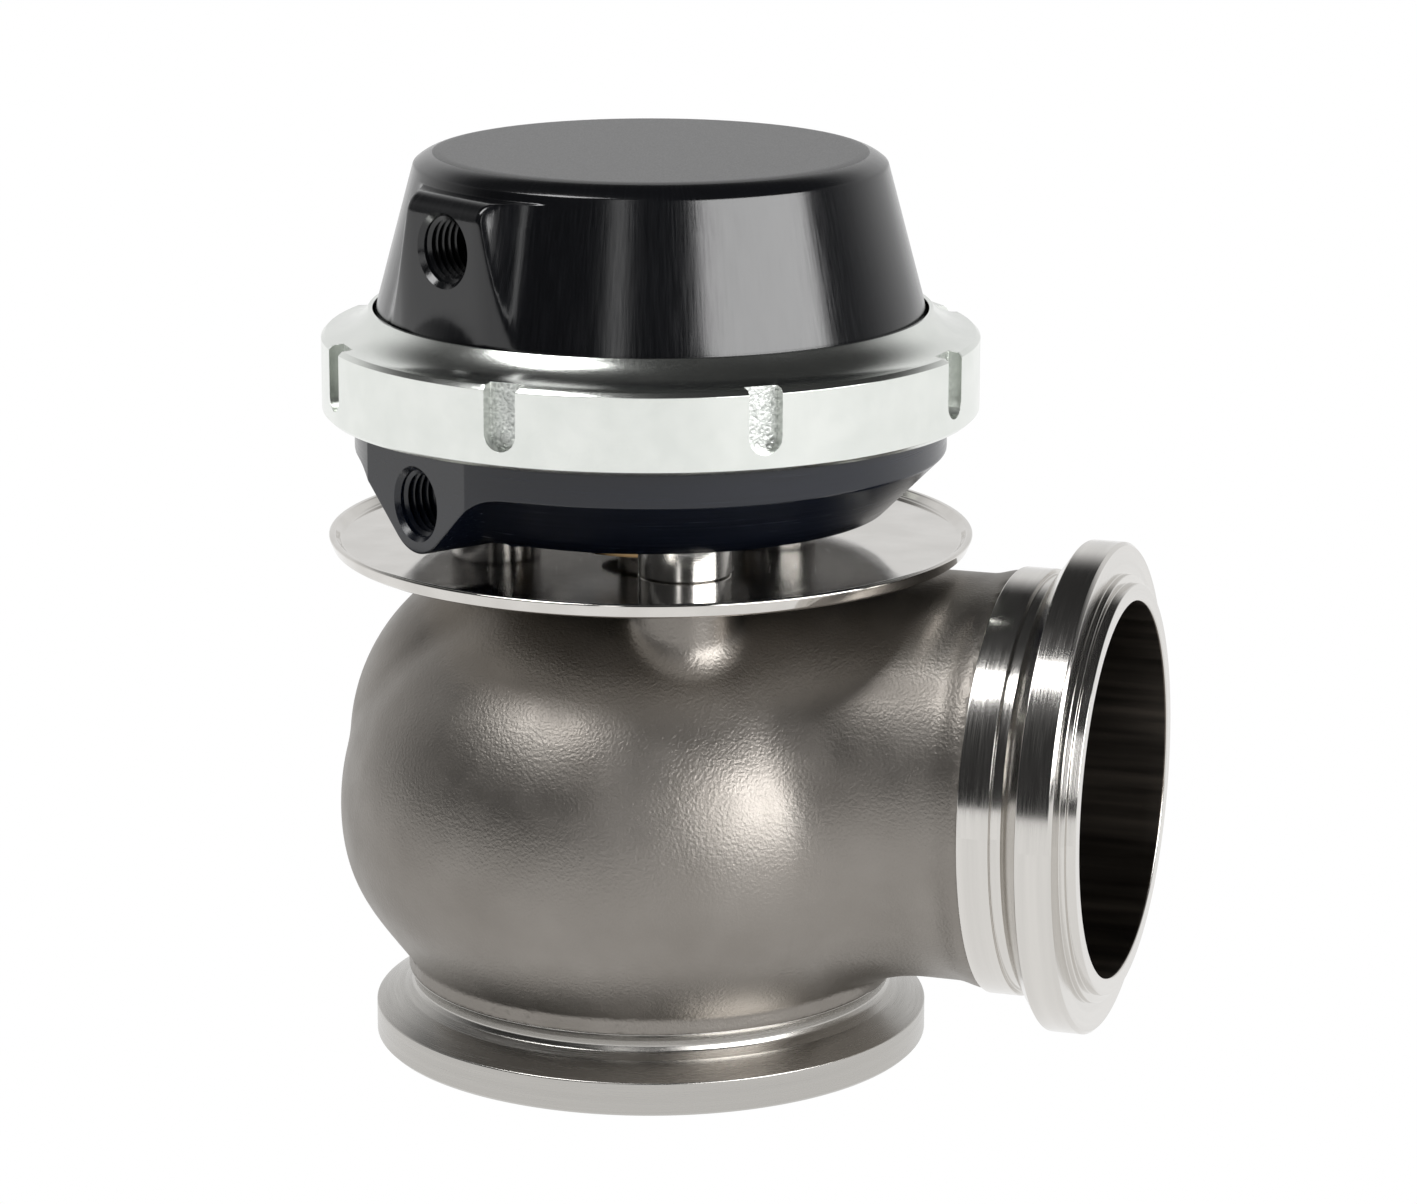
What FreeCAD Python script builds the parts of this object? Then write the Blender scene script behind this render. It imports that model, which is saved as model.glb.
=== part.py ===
import FreeCAD, Part
import math
import os

# Millimetres. +Z is the valve axis, the origin is the middle of the inlet flange's face, and the outlet points along +X.
# An azimuth is an angle about the valve axis, counted from -Y towards +X.

# Inlet flange and neck of the cast valve body
INLET_RIM_R = 33.9
INLET_RIM_THICK = 4.1
FLANGE_SLOPE_DEG = 26.5
NECK_R = 29.3
NECK_FLARE = 1.2
NECK_DROP = 1.3
EDGE_BREAK = 0.4

# Round bulb of the casting, an arc turned about the valve axis
BULB_ARC_R = 29.3
BULB_ARC_OFFSET = 8.7
BULB_CENTRE_Z = 28.9
CAST_WALL = 4.8

# Outlet passage, which ends in a dome behind the valve axis
DOME_X = -13.2
OUTLET_Z = 35.7
OUTLET_BORE_R = 22.5
OUTLET_BORE_START_X = 20.0
PIPE_R = 24.5
PIPE_FLARE = 0.7
PIPE_FLARE_LENGTH = 3.0
BULB_PIPE_BLEND = 12.0

# Outlet flange
OUTLET_FACE_X = 57.65
OUTLET_RIM_R = 29.4
OUTLET_RIM_THICK = 4.2
OUTLET_SLOPE = 0.7
OUTLET_GROOVE_R = 25.0
OUTLET_GROOVE_WIDTH = 1.4
OUTLET_BAND_R = 25.6
OUTLET_BAND_WIDTH = 3.9
SPIGOT_STEP_R = 25.6
SPIGOT_STEP_HEIGHT = 0.7
SPIGOT_R = 24.6
SPIGOT_HEIGHT = 1.8

# Valve, its seat and its guide
SEAT_THROAT_R = 20.5
SEAT_OUTER_R = 25.5
SEAT_HEIGHT = 8.0
SEAT_BORE_RISE = 4.0
SEAT_FACE_WIDTH = 2.0
SEAT_GAP = 0.1
VALVE_MARGIN = 1.4
VALVE_BACK_R = 12.0
STEM_R = 4.0
STEM_END_R = 3.0
GUIDE_R = 7.0
GUIDE_LENGTH = 22.0
GUIDE_BOSS_R = 10.5
GUIDE_BOSS_DROP = 9.0
GUIDE_BOSS_RISE = 2.4
GUIDE_STAND_OUT = 1.0
RUNNING_GAP = 0.04
VALVE_LIFT = 11.5

# Screws, bosses and spacers that carry the actuator
SCREW_COUNT = 3
SCREW_CIRCLE_R = 20.0
SCREW_AZIMUTH = 30.0
SCREW_R = 3.0
SCREW_CLEARANCE = 0.3
SCREW_HEAD_R = 5.0
SCREW_HEAD_HEIGHT = 4.0
SCREW_SOCKET_FLATS = 4.0
SCREW_SOCKET_DEPTH = 2.4
SCREW_THREAD_DEPTH = 8.0
SCREW_END_GAP = 0.6
BOSS_R = 5.9
BOSS_TOP_Z = 61.5
BOSS_FOOT_BLEND = 2.0
SPACER_R = 5.5
SPACER_HEIGHT = 3.9

# Heat shield, a flat plate with its rim turned up
SHIELD_THICK = 0.9
SHIELD_R = 38.6
SHIELD_RIM_R = 39.06
SHIELD_RIM_HEIGHT = 1.8
SHIELD_CENTRE_GAP = 1.5

# Lower actuator housing, whose bore follows from the diaphragm's roll round the spring cup
HOUSING_FOOT_INSET = 7.46
HOUSING_FLOOR = 6.0
HOUSING_WALL = 6.16
HOUSING_HEIGHT = 16.9
FLOOR_RISE_WIDTH = 8.0
FLOOR_RISE_HEIGHT = 5.0

# Threaded hose ports
PORT_R = 3.95
PORT_DEPTH = 7.0
PORT_CHAMFER = 0.55
PORT_PASSAGE_R = 2.0
LOWER_PORT_AZIMUTH = -34.9
LOWER_PORT_INSET = 1.46
LOWER_PORT_RISE = 4.5
LOWER_TONGUE_R = 5.9
LOWER_TONGUE_LENGTH = 10.2
LOWER_TONGUE_RUN_OUT_R = 11.0
LOWER_TONGUE_RUN_OUT_RISE = 0.3
LOWER_TONGUE_SLOPE_DEG = 41.0
UPPER_PORT_AZIMUTH = -29.4
UPPER_PORT_INSET = 0.7
UPPER_PORT_DROP = 6.0
UPPER_PAD_R = 6.0
UPPER_PAD_LENGTH = 6.8

# Stem bush and seal in the floor of the lower housing
BUSH_R = 6.0
BUSH_FLANGE_R = 7.0
BUSH_HEIGHT = 3.2
SEAL_R = 6.5
SEAL_HEIGHT = 1.8
RETAINER_R = 7.5
RETAINER_HEIGHT = 0.8

# Diaphragm, spring cup and stem nut
DIAPHRAGM_THICK = 1.2
DIAPHRAGM_CREST = 2.2
DIAPHRAGM_RIM_INSET = 0.46
DIAPHRAGM_ROLL_WIDTH = 6.3
FLOOR_CLEARANCE = 1.0
CLAMP_PLATE_R = 15.0
CLAMP_PLATE_THICK = 1.5
CUP_WALL = 1.8
CUP_FLOOR = 2.0
CUP_HEIGHT = 8.0
WASHER_R = 6.0
WASHER_THICK = 1.6
NUT_FLATS = 10.0
NUT_HEIGHT = 6.0
STEM_STAND_OUT = 1.5
SOFT_GAP = 0.3

# Springs, from the inner one out: wire radius, turns, and the gap inside each
SPRINGS = {
    "inner_spring": (1.1, 6.0, 0.8),
    "middle_spring": (1.3, 5.0, 1.6),
    "outer_spring": (1.6, 4.0, 1.8),
}
SPRING_CUP_GAP = 1.2

# Cap, a cone milled below a rounded top, with a boss left for its port
CAP_FLANGE_THICK = 2.6
CAP_FOOT_INSET = 2.66
CAP_FOOT_RISE = 3.5
CAP_CONE_DEG = 15.0
CAP_CONE_HEIGHT = 17.55
CAP_TOP_RISE = 1.45
CAP_TOP_ROUND_WIDTH = 3.6
CAP_WALL = 3.3
CAP_TOP_WALL = 4.3
CAP_INNER_FILLET = 3.0
CAP_BOSS_DROP = 2.5
CAP_BOSS_HALF_TOP = 5.1
CAP_BOSS_HALF_FOOT = 8.6
CAP_BOSS_BLEND_TOP = 10.5
CAP_BOSS_BLEND_FOOT = 6.5
CAP_BOSS_NOSE_R = 2.3
CAP_SPIGOT_R = 8.0
CAP_SPIGOT_DROP = 2.0

# Lock ring with its spanner notches
RING_WALL = 3.59
RING_LIP_GAP = 0.3
RING_BORE_GAP = 0.25
RING_SKIRT = 4.9
RING_WALL_TOP = 0.35
RING_CHAMFER = 0.5
RING_LIP_THICK = 3.75
RING_LIP_FLAT = 0.5
NOTCH_COUNT = 8
NOTCH_AZIMUTH = 37.8
NOTCH_WIDTH = 4.0
NOTCH_DEPTH = 1.8
NOTCH_FOOT_RISE = 2.0

# Radii and heights that follow from the sizes above
SPRING_MEAN_R = {}
free_r = CAP_SPIGOT_R
for spring_name, (wire_r, _, gap) in SPRINGS.items():
    SPRING_MEAN_R[spring_name] = free_r + gap + wire_r
    free_r += gap + 2 * wire_r
CUP_R = free_r + SPRING_CUP_GAP + CUP_WALL
HOUSING_BORE_R = CUP_R + DIAPHRAGM_ROLL_WIDTH
HOUSING_R = HOUSING_BORE_R + HOUSING_WALL
HOUSING_FOOT_R = HOUSING_R - HOUSING_FOOT_INSET
FLOOR_RISE_R = HOUSING_BORE_R - FLOOR_RISE_WIDTH
LOWER_PORT_FACE = HOUSING_R - LOWER_PORT_INSET
DIAPHRAGM_RIM_R = HOUSING_R - DIAPHRAGM_RIM_INSET
CAP_FOOT_R = HOUSING_R - CAP_FOOT_INSET
UPPER_PORT_FACE = CAP_FOOT_R - UPPER_PORT_INSET
UPPER_PAD_INNER = UPPER_PORT_FACE - UPPER_PAD_LENGTH
RING_R = HOUSING_R + RING_BORE_GAP + RING_WALL
SPACER_Z = BOSS_TOP_Z + SHIELD_THICK
HOUSING_Z = SPACER_Z + SPACER_HEIGHT
FLOOR_Z = HOUSING_Z + HOUSING_FLOOR
CLAMP_Z = HOUSING_Z + HOUSING_HEIGHT
FLANGE_Z = CLAMP_Z + DIAPHRAGM_THICK
LIP_Z = FLANGE_Z + CAP_FLANGE_THICK
CONE_Z = LIP_Z + CAP_FOOT_RISE
CREASE_Z = CONE_Z + CAP_CONE_HEIGHT
TOP_Z = CREASE_Z + CAP_TOP_RISE
CEILING_Z = TOP_Z - CAP_TOP_WALL
PLATE_Z = FLOOR_Z + FLOOR_CLEARANCE
DISC_Z = PLATE_Z + CLAMP_PLATE_THICK
CUP_Z = DISC_Z + DIAPHRAGM_THICK
CUP_FLOOR_Z = CUP_Z + CUP_FLOOR
NUT_Z = CUP_FLOOR_Z + WASHER_THICK
STEM_TOP_Z = NUT_Z + NUT_HEIGHT + STEM_STAND_OUT
HEAD_SEAT_Z = HOUSING_Z + HOUSING_FLOOR - SCREW_HEAD_HEIGHT - 0.2
WAIST_R = NECK_R + NECK_FLARE
NECK_Z = INLET_RIM_THICK + (INLET_RIM_R - WAIST_R) * math.tan(math.radians(FLANGE_SLOPE_DEG))
COLLAR_Z = BULB_CENTRE_Z + BULB_ARC_R + GUIDE_BOSS_RISE
BAND_X = (OUTLET_FACE_X - OUTLET_RIM_THICK - (OUTLET_RIM_R - OUTLET_BAND_R) * OUTLET_SLOPE
          - OUTLET_GROOVE_WIDTH - OUTLET_BAND_WIDTH)
PIPE_END_X = BAND_X - PIPE_FLARE_LENGTH
LOWER_PORT_Z = HOUSING_Z + LOWER_PORT_RISE
LEDGE_Z = TOP_Z - CAP_BOSS_DROP
UPPER_PORT_Z = LEDGE_Z - UPPER_PORT_DROP
CONE_TAN = math.tan(math.radians(CAP_CONE_DEG))
CREASE_R = CAP_FOOT_R - CAP_CONE_HEIGHT * CONE_TAN
CAP_FLAT_R = CREASE_R - CAP_TOP_ROUND_WIDTH


def point(r, z):
    return FreeCAD.Vector(r, 0, z)


def line(start, end):
    return Part.LineSegment(point(*start), point(*end)).toShape()


def arc(start, middle, end):
    return Part.Arc(point(*start), point(*middle), point(*end)).toShape()


def turned(edges):
    """Solid of revolution about the valve axis from a closed outline in the XZ plane."""
    face = Part.Face(Part.Wire(Part.__sortEdges__(edges)))
    return face.revolve(FreeCAD.Vector(0, 0, 0), FreeCAD.Vector(0, 0, 1), 360)


def turned_polygon(corners):
    """Solid of revolution from straight runs between (radius, height) corners."""
    ends = corners[1:] + corners[:1]
    return turned([line(a, b) for a, b in zip(corners, ends)])


def tube(outer_r, inner_r, low, high):
    ring = Part.makeCylinder(outer_r, high - low, FreeCAD.Vector(0, 0, low))
    if inner_r > 0:
        ring = ring.cut(Part.makeCylinder(inner_r, high - low, FreeCAD.Vector(0, 0, low)))
    return ring


def about_axis(shape, azimuth):
    """Copy of a shape built on the -Y side, turned to its azimuth."""
    copy = shape.copy()
    copy.rotate(FreeCAD.Vector(0, 0, 0), FreeCAD.Vector(0, 0, 1), azimuth)
    return copy


def along_x(shape, height):
    """Copy of a shape turned about Z at the origin, laid along +X at a height."""
    copy = shape.copy()
    copy.rotate(FreeCAD.Vector(0, 0, 0), FreeCAD.Vector(0, 1, 0), 90)
    copy.translate(FreeCAD.Vector(0, 0, height))
    return copy


def at_screws(shape):
    """Copies of a shape built on the valve axis, one on each screw's axis."""
    copies = []
    for index in range(SCREW_COUNT):
        copy = shape.copy()
        copy.translate(FreeCAD.Vector(0, -SCREW_CIRCLE_R, 0))
        copies.append(about_axis(copy, SCREW_AZIMUTH + index * 360 / SCREW_COUNT))
    return copies


def hexagon(flats, low, high):
    corner_r = flats / 2 / math.cos(math.radians(30))
    corners = [
        FreeCAD.Vector(corner_r * math.cos(math.radians(60 * k)), corner_r * math.sin(math.radians(60 * k)), low)
        for k in range(7)
    ]
    return Part.Face(Part.makePolygon(corners)).extrude(FreeCAD.Vector(0, 0, high - low))


def bulb():
    """Neck and bulb of the casting, closed by the bulb's rounded top."""
    foot_z = NECK_Z + 2.3 * NECK_DROP
    foot_r = BULB_ARC_OFFSET + math.sqrt(BULB_ARC_R ** 2 - (foot_z - BULB_CENTRE_Z) ** 2)
    waist = (WAIST_R, NECK_Z)
    side = (BULB_ARC_OFFSET + BULB_ARC_R, BULB_CENTRE_Z)
    crown = (BULB_ARC_OFFSET, BULB_CENTRE_Z + BULB_ARC_R)
    return turned([
        line((0, 0), (INLET_RIM_R - EDGE_BREAK, 0)),
        line((INLET_RIM_R - EDGE_BREAK, 0), (INLET_RIM_R, EDGE_BREAK)),
        line((INLET_RIM_R, EDGE_BREAK), (INLET_RIM_R, INLET_RIM_THICK)),
        line((INLET_RIM_R, INLET_RIM_THICK), waist),
        arc(waist, (NECK_R, NECK_Z + NECK_DROP), (foot_r, foot_z)),
        arc((foot_r, foot_z), side, crown),
        line(crown, (0, crown[1])),
        line((0, crown[1]), (0, 0)),
    ])


def passage():
    """Outlet passage, from its dome behind the valve axis to the outlet flange."""
    start = FreeCAD.Vector(DOME_X, 0, OUTLET_Z)
    pipe = Part.makeCylinder(PIPE_R, PIPE_END_X - DOME_X, start, FreeCAD.Vector(1, 0, 0))
    return Part.makeSphere(PIPE_R, start).fuse(pipe)


def outlet_flange():
    """Flare, machined band, groove, rim and stepped spigot, turned about the outlet's axis."""
    groove_x = BAND_X + OUTLET_BAND_WIDTH
    slope_foot_x = groove_x + OUTLET_GROOVE_WIDTH
    step_x = OUTLET_FACE_X + SPIGOT_STEP_HEIGHT
    end_x = OUTLET_FACE_X + SPIGOT_HEIGHT
    profile = [
        (0, PIPE_END_X),
        (PIPE_R, PIPE_END_X),
        (PIPE_R + PIPE_FLARE, BAND_X),
        (OUTLET_BAND_R, BAND_X),
        (OUTLET_BAND_R, groove_x),
        (OUTLET_GROOVE_R, groove_x),
        (OUTLET_GROOVE_R, slope_foot_x),
        (OUTLET_BAND_R, slope_foot_x),
        (OUTLET_RIM_R, OUTLET_FACE_X - OUTLET_RIM_THICK),
        (OUTLET_RIM_R, OUTLET_FACE_X - EDGE_BREAK),
        (OUTLET_RIM_R - EDGE_BREAK, OUTLET_FACE_X),
        (SPIGOT_STEP_R, OUTLET_FACE_X),
        (SPIGOT_STEP_R, step_x),
        (SPIGOT_R, step_x),
        (SPIGOT_R, end_x),
        (0, end_x),
    ]
    return along_x(turned_polygon(profile), OUTLET_Z)


def gas_chamber():
    """Hollow of the casting: bulb, outlet bore and the seat's counterbore, which clears the valve too."""
    inner_r = BULB_ARC_R - CAST_WALL
    rise = SEAT_HEIGHT - BULB_CENTRE_Z
    foot = (BULB_ARC_OFFSET + math.sqrt(inner_r ** 2 - rise ** 2), SEAT_HEIGHT)
    side = (BULB_ARC_OFFSET + inner_r, BULB_CENTRE_Z)
    crown = (BULB_ARC_OFFSET, BULB_CENTRE_Z + inner_r)
    hollow = turned([
        arc(foot, side, crown),
        line(crown, (0, crown[1])),
        line((0, crown[1]), (0, SEAT_HEIGHT)),
        line((0, SEAT_HEIGHT), foot),
    ])
    bore_length = OUTLET_FACE_X + SPIGOT_HEIGHT - OUTLET_BORE_START_X
    start = FreeCAD.Vector(OUTLET_BORE_START_X, 0, OUTLET_Z)
    bore = Part.makeCylinder(OUTLET_BORE_R, bore_length, start, FreeCAD.Vector(1, 0, 0))
    return hollow.fuse([bore, tube(SEAT_OUTER_R, 0, 0, SEAT_HEIGHT + SEAT_BORE_RISE)])


def casting():
    """Solid outside of the casting: bulb and passage with the blend between them, and the screw bosses."""
    joined = about_axis(bulb(), 180).fuse(passage()).removeSplitter()
    seams = [e for e in joined.Edges if not e.Degenerated and isinstance(e.Curve, Part.BSplineCurve)]
    joined = joined.makeFillet(BULB_PIPE_BLEND, seams)
    boss_foot_z = BULB_CENTRE_Z + BULB_ARC_R - BULB_PIPE_BLEND
    joined = joined.fuse(at_screws(tube(BOSS_R, 0, boss_foot_z, BOSS_TOP_Z))).removeSplitter()
    feet = []
    for wall in at_screws(tube(BOSS_R + 0.05, BOSS_R - 0.05, boss_foot_z, BOSS_TOP_Z - EDGE_BREAK)):
        feet += [e for e in joined.Edges if wall.isInside(e.valueAt(sum(e.ParameterRange) / 2), 0.01, True)
                 and e.BoundBox.ZMax < BOSS_TOP_Z - EDGE_BREAK]
    return joined.makeFillet(BOSS_FOOT_BLEND, feet)


def valve_body():
    outside = casting().fuse([outlet_flange(), tube(GUIDE_BOSS_R, 0, BULB_CENTRE_Z, COLLAR_Z)])
    ceiling = BULB_CENTRE_Z + BULB_ARC_R - CAST_WALL
    cast = outside.cut(gas_chamber())
    cast = cast.fuse(tube(GUIDE_BOSS_R, 0, ceiling - GUIDE_BOSS_DROP, ceiling + 1))
    holes = at_screws(tube(SCREW_R, 0, BOSS_TOP_Z - SCREW_THREAD_DEPTH, BOSS_TOP_Z))
    return cast.cut(holes + [tube(GUIDE_R, 0, 0, TOP_Z)]).removeSplitter()


def valve_seat():
    return turned_polygon([
        (SEAT_OUTER_R, 0),
        (SEAT_OUTER_R, SEAT_HEIGHT),
        (SEAT_THROAT_R + SEAT_FACE_WIDTH, SEAT_HEIGHT),
        (SEAT_THROAT_R, SEAT_HEIGHT - SEAT_FACE_WIDTH),
        (SEAT_THROAT_R, 0),
    ])


def valve():
    """Poppet with its 45 degree face just clear of the seat, and the stem up to its threaded end."""
    lift = SEAT_GAP * math.sqrt(2)
    face_low = (SEAT_THROAT_R, SEAT_HEIGHT - SEAT_FACE_WIDTH + lift)
    face_high = (SEAT_THROAT_R + SEAT_FACE_WIDTH - 0.4, SEAT_HEIGHT - 0.4 + lift)
    rim = (face_high[0], face_high[1] + VALVE_MARGIN)
    back_r = VALVE_BACK_R
    centre = (STEM_R + back_r, rim[1] + back_r)
    shoulder = (centre[0], rim[1])
    half = math.sqrt(0.5)
    middle = (centre[0] - back_r * half, centre[1] - back_r * half)
    neck = (STEM_R, centre[1])
    return turned([
        line((0, face_low[1]), face_low),
        line(face_low, face_high),
        line(face_high, rim),
        line(rim, shoulder),
        arc(shoulder, middle, neck),
        line(neck, (STEM_R, PLATE_Z)),
        line((STEM_R, PLATE_Z), (STEM_END_R, PLATE_Z)),
        line((STEM_END_R, PLATE_Z), (STEM_END_R, STEM_TOP_Z)),
        line((STEM_END_R, STEM_TOP_Z), (0, STEM_TOP_Z)),
        line((0, STEM_TOP_Z), (0, face_low[1])),
    ])


def valve_guide():
    top = COLLAR_Z + GUIDE_STAND_OUT
    return tube(GUIDE_R, STEM_R + RUNNING_GAP, top - GUIDE_LENGTH, top)


def heat_shield():
    rim_top = BOSS_TOP_Z + SHIELD_RIM_HEIGHT
    plate_top = BOSS_TOP_Z + SHIELD_THICK
    plate = turned_polygon([
        (GUIDE_BOSS_R + SHIELD_CENTRE_GAP, BOSS_TOP_Z),
        (SHIELD_R, BOSS_TOP_Z),
        (SHIELD_RIM_R, rim_top),
        (SHIELD_RIM_R - SHIELD_THICK, rim_top),
        (SHIELD_R - SHIELD_THICK - 0.25, plate_top),
        (GUIDE_BOSS_R + SHIELD_CENTRE_GAP, plate_top),
    ])
    return plate.cut(at_screws(tube(SCREW_R + SCREW_CLEARANCE, 0, BOSS_TOP_Z, plate_top)))


def screw():
    """Low head screw with a hexagon socket, on the valve axis."""
    foot = BOSS_TOP_Z - SCREW_THREAD_DEPTH + SCREW_END_GAP
    shank = tube(SCREW_R, 0, foot, HEAD_SEAT_Z)
    head_top = HEAD_SEAT_Z + SCREW_HEAD_HEIGHT
    head = tube(SCREW_HEAD_R, 0, HEAD_SEAT_Z, head_top)
    return shank.fuse(head).removeSplitter().cut(hexagon(SCREW_SOCKET_FLATS, head_top - SCREW_SOCKET_DEPTH, head_top))


def port_hole(face, height, depth, passage_end):
    """Tool for a port on the -Y side: chamfer, threaded length and the passage behind it."""
    inwards = FreeCAD.Vector(0, 1, 0)
    hole = Part.makeCylinder(PORT_R, depth, FreeCAD.Vector(0, -face, height), inwards)
    chamfer = Part.makeCone(PORT_R + PORT_CHAMFER, PORT_R, PORT_CHAMFER, FreeCAD.Vector(0, -face, height), inwards)
    passage_length = face - passage_end
    channel = Part.makeCylinder(PORT_PASSAGE_R, passage_length, FreeCAD.Vector(0, -face, height), inwards)
    return hole.fuse([chamfer, channel])


def tongue():
    """Port boss of the lower housing: a V with a rounded foot and flanks that run out along the housing's crease."""
    slope = math.radians(LOWER_TONGUE_SLOPE_DEG)
    side_r = LOWER_TONGUE_R
    run_r = LOWER_TONGUE_RUN_OUT_R
    top = HOUSING_R - HOUSING_FOOT_R - LOWER_PORT_RISE + LOWER_TONGUE_RUN_OUT_RISE
    touch = (side_r * math.sin(slope), -side_r * math.cos(slope))
    run_start_z = top - run_r * (1 - math.cos(slope))
    run_start = (touch[0] + (run_start_z - touch[1]) / math.tan(slope), run_start_z)
    run_end = (run_start[0] + run_r * math.sin(slope), top)
    run_middle = (run_end[0] - run_r * math.sin(slope / 2), top - run_r * (1 - math.cos(slope / 2)))

    def mirrored(place):
        return (-place[0], place[1])

    edges = [
        arc(run_end, run_middle, run_start),
        line(run_start, touch),
        arc(touch, (0, -side_r), mirrored(touch)),
        line(mirrored(touch), mirrored(run_start)),
        arc(mirrored(run_start), mirrored(run_middle), mirrored(run_end)),
        line(mirrored(run_end), run_end),
    ]
    face = Part.Face(Part.Wire(Part.__sortEdges__(edges)))
    face.translate(FreeCAD.Vector(0, 0, LOWER_PORT_Z))
    block = face.extrude(FreeCAD.Vector(0, -2 * HOUSING_R, 0))
    return block.common(tube(HOUSING_R, LOWER_PORT_FACE - LOWER_TONGUE_LENGTH, LOWER_PORT_Z - side_r, CLAMP_Z))


def base_housing():
    crease_z = HOUSING_Z + HOUSING_R - HOUSING_FOOT_R
    bowl = turned_polygon([
        (0, HOUSING_Z),
        (HOUSING_FOOT_R, HOUSING_Z),
        (HOUSING_R, crease_z),
        (HOUSING_R, CLAMP_Z),
        (0, CLAMP_Z),
    ])
    chamber = turned_polygon([
        (0, FLOOR_Z),
        (FLOOR_RISE_R, FLOOR_Z),
        (HOUSING_BORE_R, FLOOR_Z + FLOOR_RISE_HEIGHT),
        (HOUSING_BORE_R, CLAMP_Z),
        (0, CLAMP_Z),
    ])
    bowl = bowl.fuse(about_axis(tongue(), LOWER_PORT_AZIMUTH))
    flat_foot = LOWER_PORT_Z - LOWER_TONGUE_R
    flat = Part.makeBox(2 * HOUSING_R, HOUSING_R, CLAMP_Z - RING_SKIRT - flat_foot)
    flat.translate(FreeCAD.Vector(-HOUSING_R, -LOWER_PORT_FACE - HOUSING_R, flat_foot))
    flat = about_axis(flat, LOWER_PORT_AZIMUTH)
    hole = port_hole(LOWER_PORT_FACE, LOWER_PORT_Z, PORT_DEPTH, FLOOR_RISE_R - 4)
    tools = [chamber, flat, about_axis(hole, LOWER_PORT_AZIMUTH)]
    tools += at_screws(tube(SCREW_R + SCREW_CLEARANCE, 0, HOUSING_Z, FLOOR_Z))
    tools += at_screws(tube(SCREW_HEAD_R + SCREW_CLEARANCE, 0, HEAD_SEAT_Z, FLOOR_Z))
    tools.append(tube(BUSH_R, 0, HOUSING_Z, FLOOR_Z))
    tools.append(tube(SEAL_R, 0, HOUSING_Z + BUSH_HEIGHT, FLOOR_Z))
    tools.append(tube(RETAINER_R, 0, HOUSING_Z + BUSH_HEIGHT + SEAL_HEIGHT, FLOOR_Z))
    return bowl.cut(tools).removeSplitter()


def stem_bush():
    return tube(BUSH_R, STEM_R + RUNNING_GAP, HOUSING_Z, HOUSING_Z + BUSH_HEIGHT)


def stem_seal():
    low = HOUSING_Z + BUSH_HEIGHT
    return tube(SEAL_R, STEM_R + RUNNING_GAP, low, low + SEAL_HEIGHT)


def seal_retainer():
    low = HOUSING_Z + BUSH_HEIGHT + SEAL_HEIGHT
    return tube(RETAINER_R, STEM_R + SOFT_GAP, low, low + RETAINER_HEIGHT)


def diaphragm():
    """Rolling diaphragm at rest: rim, crest in the gap beside the cup, and the disc under the cup."""
    thick = DIAPHRAGM_THICK
    wall_in = CUP_R + SOFT_GAP
    wall_out = HOUSING_BORE_R - SOFT_GAP
    crest_z = FLANGE_Z + DIAPHRAGM_CREST
    crest_r = (wall_in + wall_out) / 2
    return turned([
        line((STEM_R, DISC_Z), (wall_in + thick, DISC_Z)),
        line((wall_in + thick, DISC_Z), (wall_in + thick, FLANGE_Z)),
        arc((wall_in + thick, FLANGE_Z), (crest_r, crest_z - thick), (wall_out - thick, FLANGE_Z)),
        line((wall_out - thick, FLANGE_Z), (wall_out - thick, CLAMP_Z)),
        line((wall_out - thick, CLAMP_Z), (DIAPHRAGM_RIM_R, CLAMP_Z)),
        line((DIAPHRAGM_RIM_R, CLAMP_Z), (DIAPHRAGM_RIM_R, FLANGE_Z)),
        line((DIAPHRAGM_RIM_R, FLANGE_Z), (wall_out, FLANGE_Z)),
        arc((wall_out, FLANGE_Z), (crest_r, crest_z), (wall_in, FLANGE_Z)),
        line((wall_in, FLANGE_Z), (wall_in, CUP_Z)),
        line((wall_in, CUP_Z), (STEM_R, CUP_Z)),
        line((STEM_R, CUP_Z), (STEM_R, DISC_Z)),
    ])


def clamp_plate():
    return tube(CLAMP_PLATE_R, STEM_END_R, PLATE_Z, DISC_Z)


def spring_cup():
    cup_top = CUP_Z + CUP_HEIGHT
    return turned_polygon([
        (STEM_END_R, CUP_Z),
        (CUP_R, CUP_Z),
        (CUP_R, cup_top),
        (CUP_R - CUP_WALL, cup_top),
        (CUP_R - CUP_WALL, CUP_FLOOR_Z),
        (STEM_END_R, CUP_FLOOR_Z),
    ])


def nut_washer():
    return tube(WASHER_R, STEM_END_R, CUP_FLOOR_Z, NUT_Z)


def stem_nut():
    nut = hexagon(NUT_FLATS, NUT_Z, NUT_Z + NUT_HEIGHT)
    return nut.cut(tube(STEM_END_R, 0, NUT_Z, NUT_Z + NUT_HEIGHT))


def spring(mean_r, wire_r, turns):
    """Compression spring between the cup's floor and the cap, with both ends ground flat."""
    low = CUP_FLOOR_Z
    high = CEILING_Z
    rise = high - low
    helix = Part.Wire(Part.makeHelix(rise / turns, rise, mean_r).Edges)
    helix.translate(FreeCAD.Vector(0, 0, low))
    section = Part.Circle(FreeCAD.Vector(mean_r, 0, low), FreeCAD.Vector(0, 1, 0), wire_r)
    coil = helix.makePipeShell([Part.Wire(section.toShape())], True, True)
    return coil.common(tube(mean_r + 2 * wire_r, 0, low, high))


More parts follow.
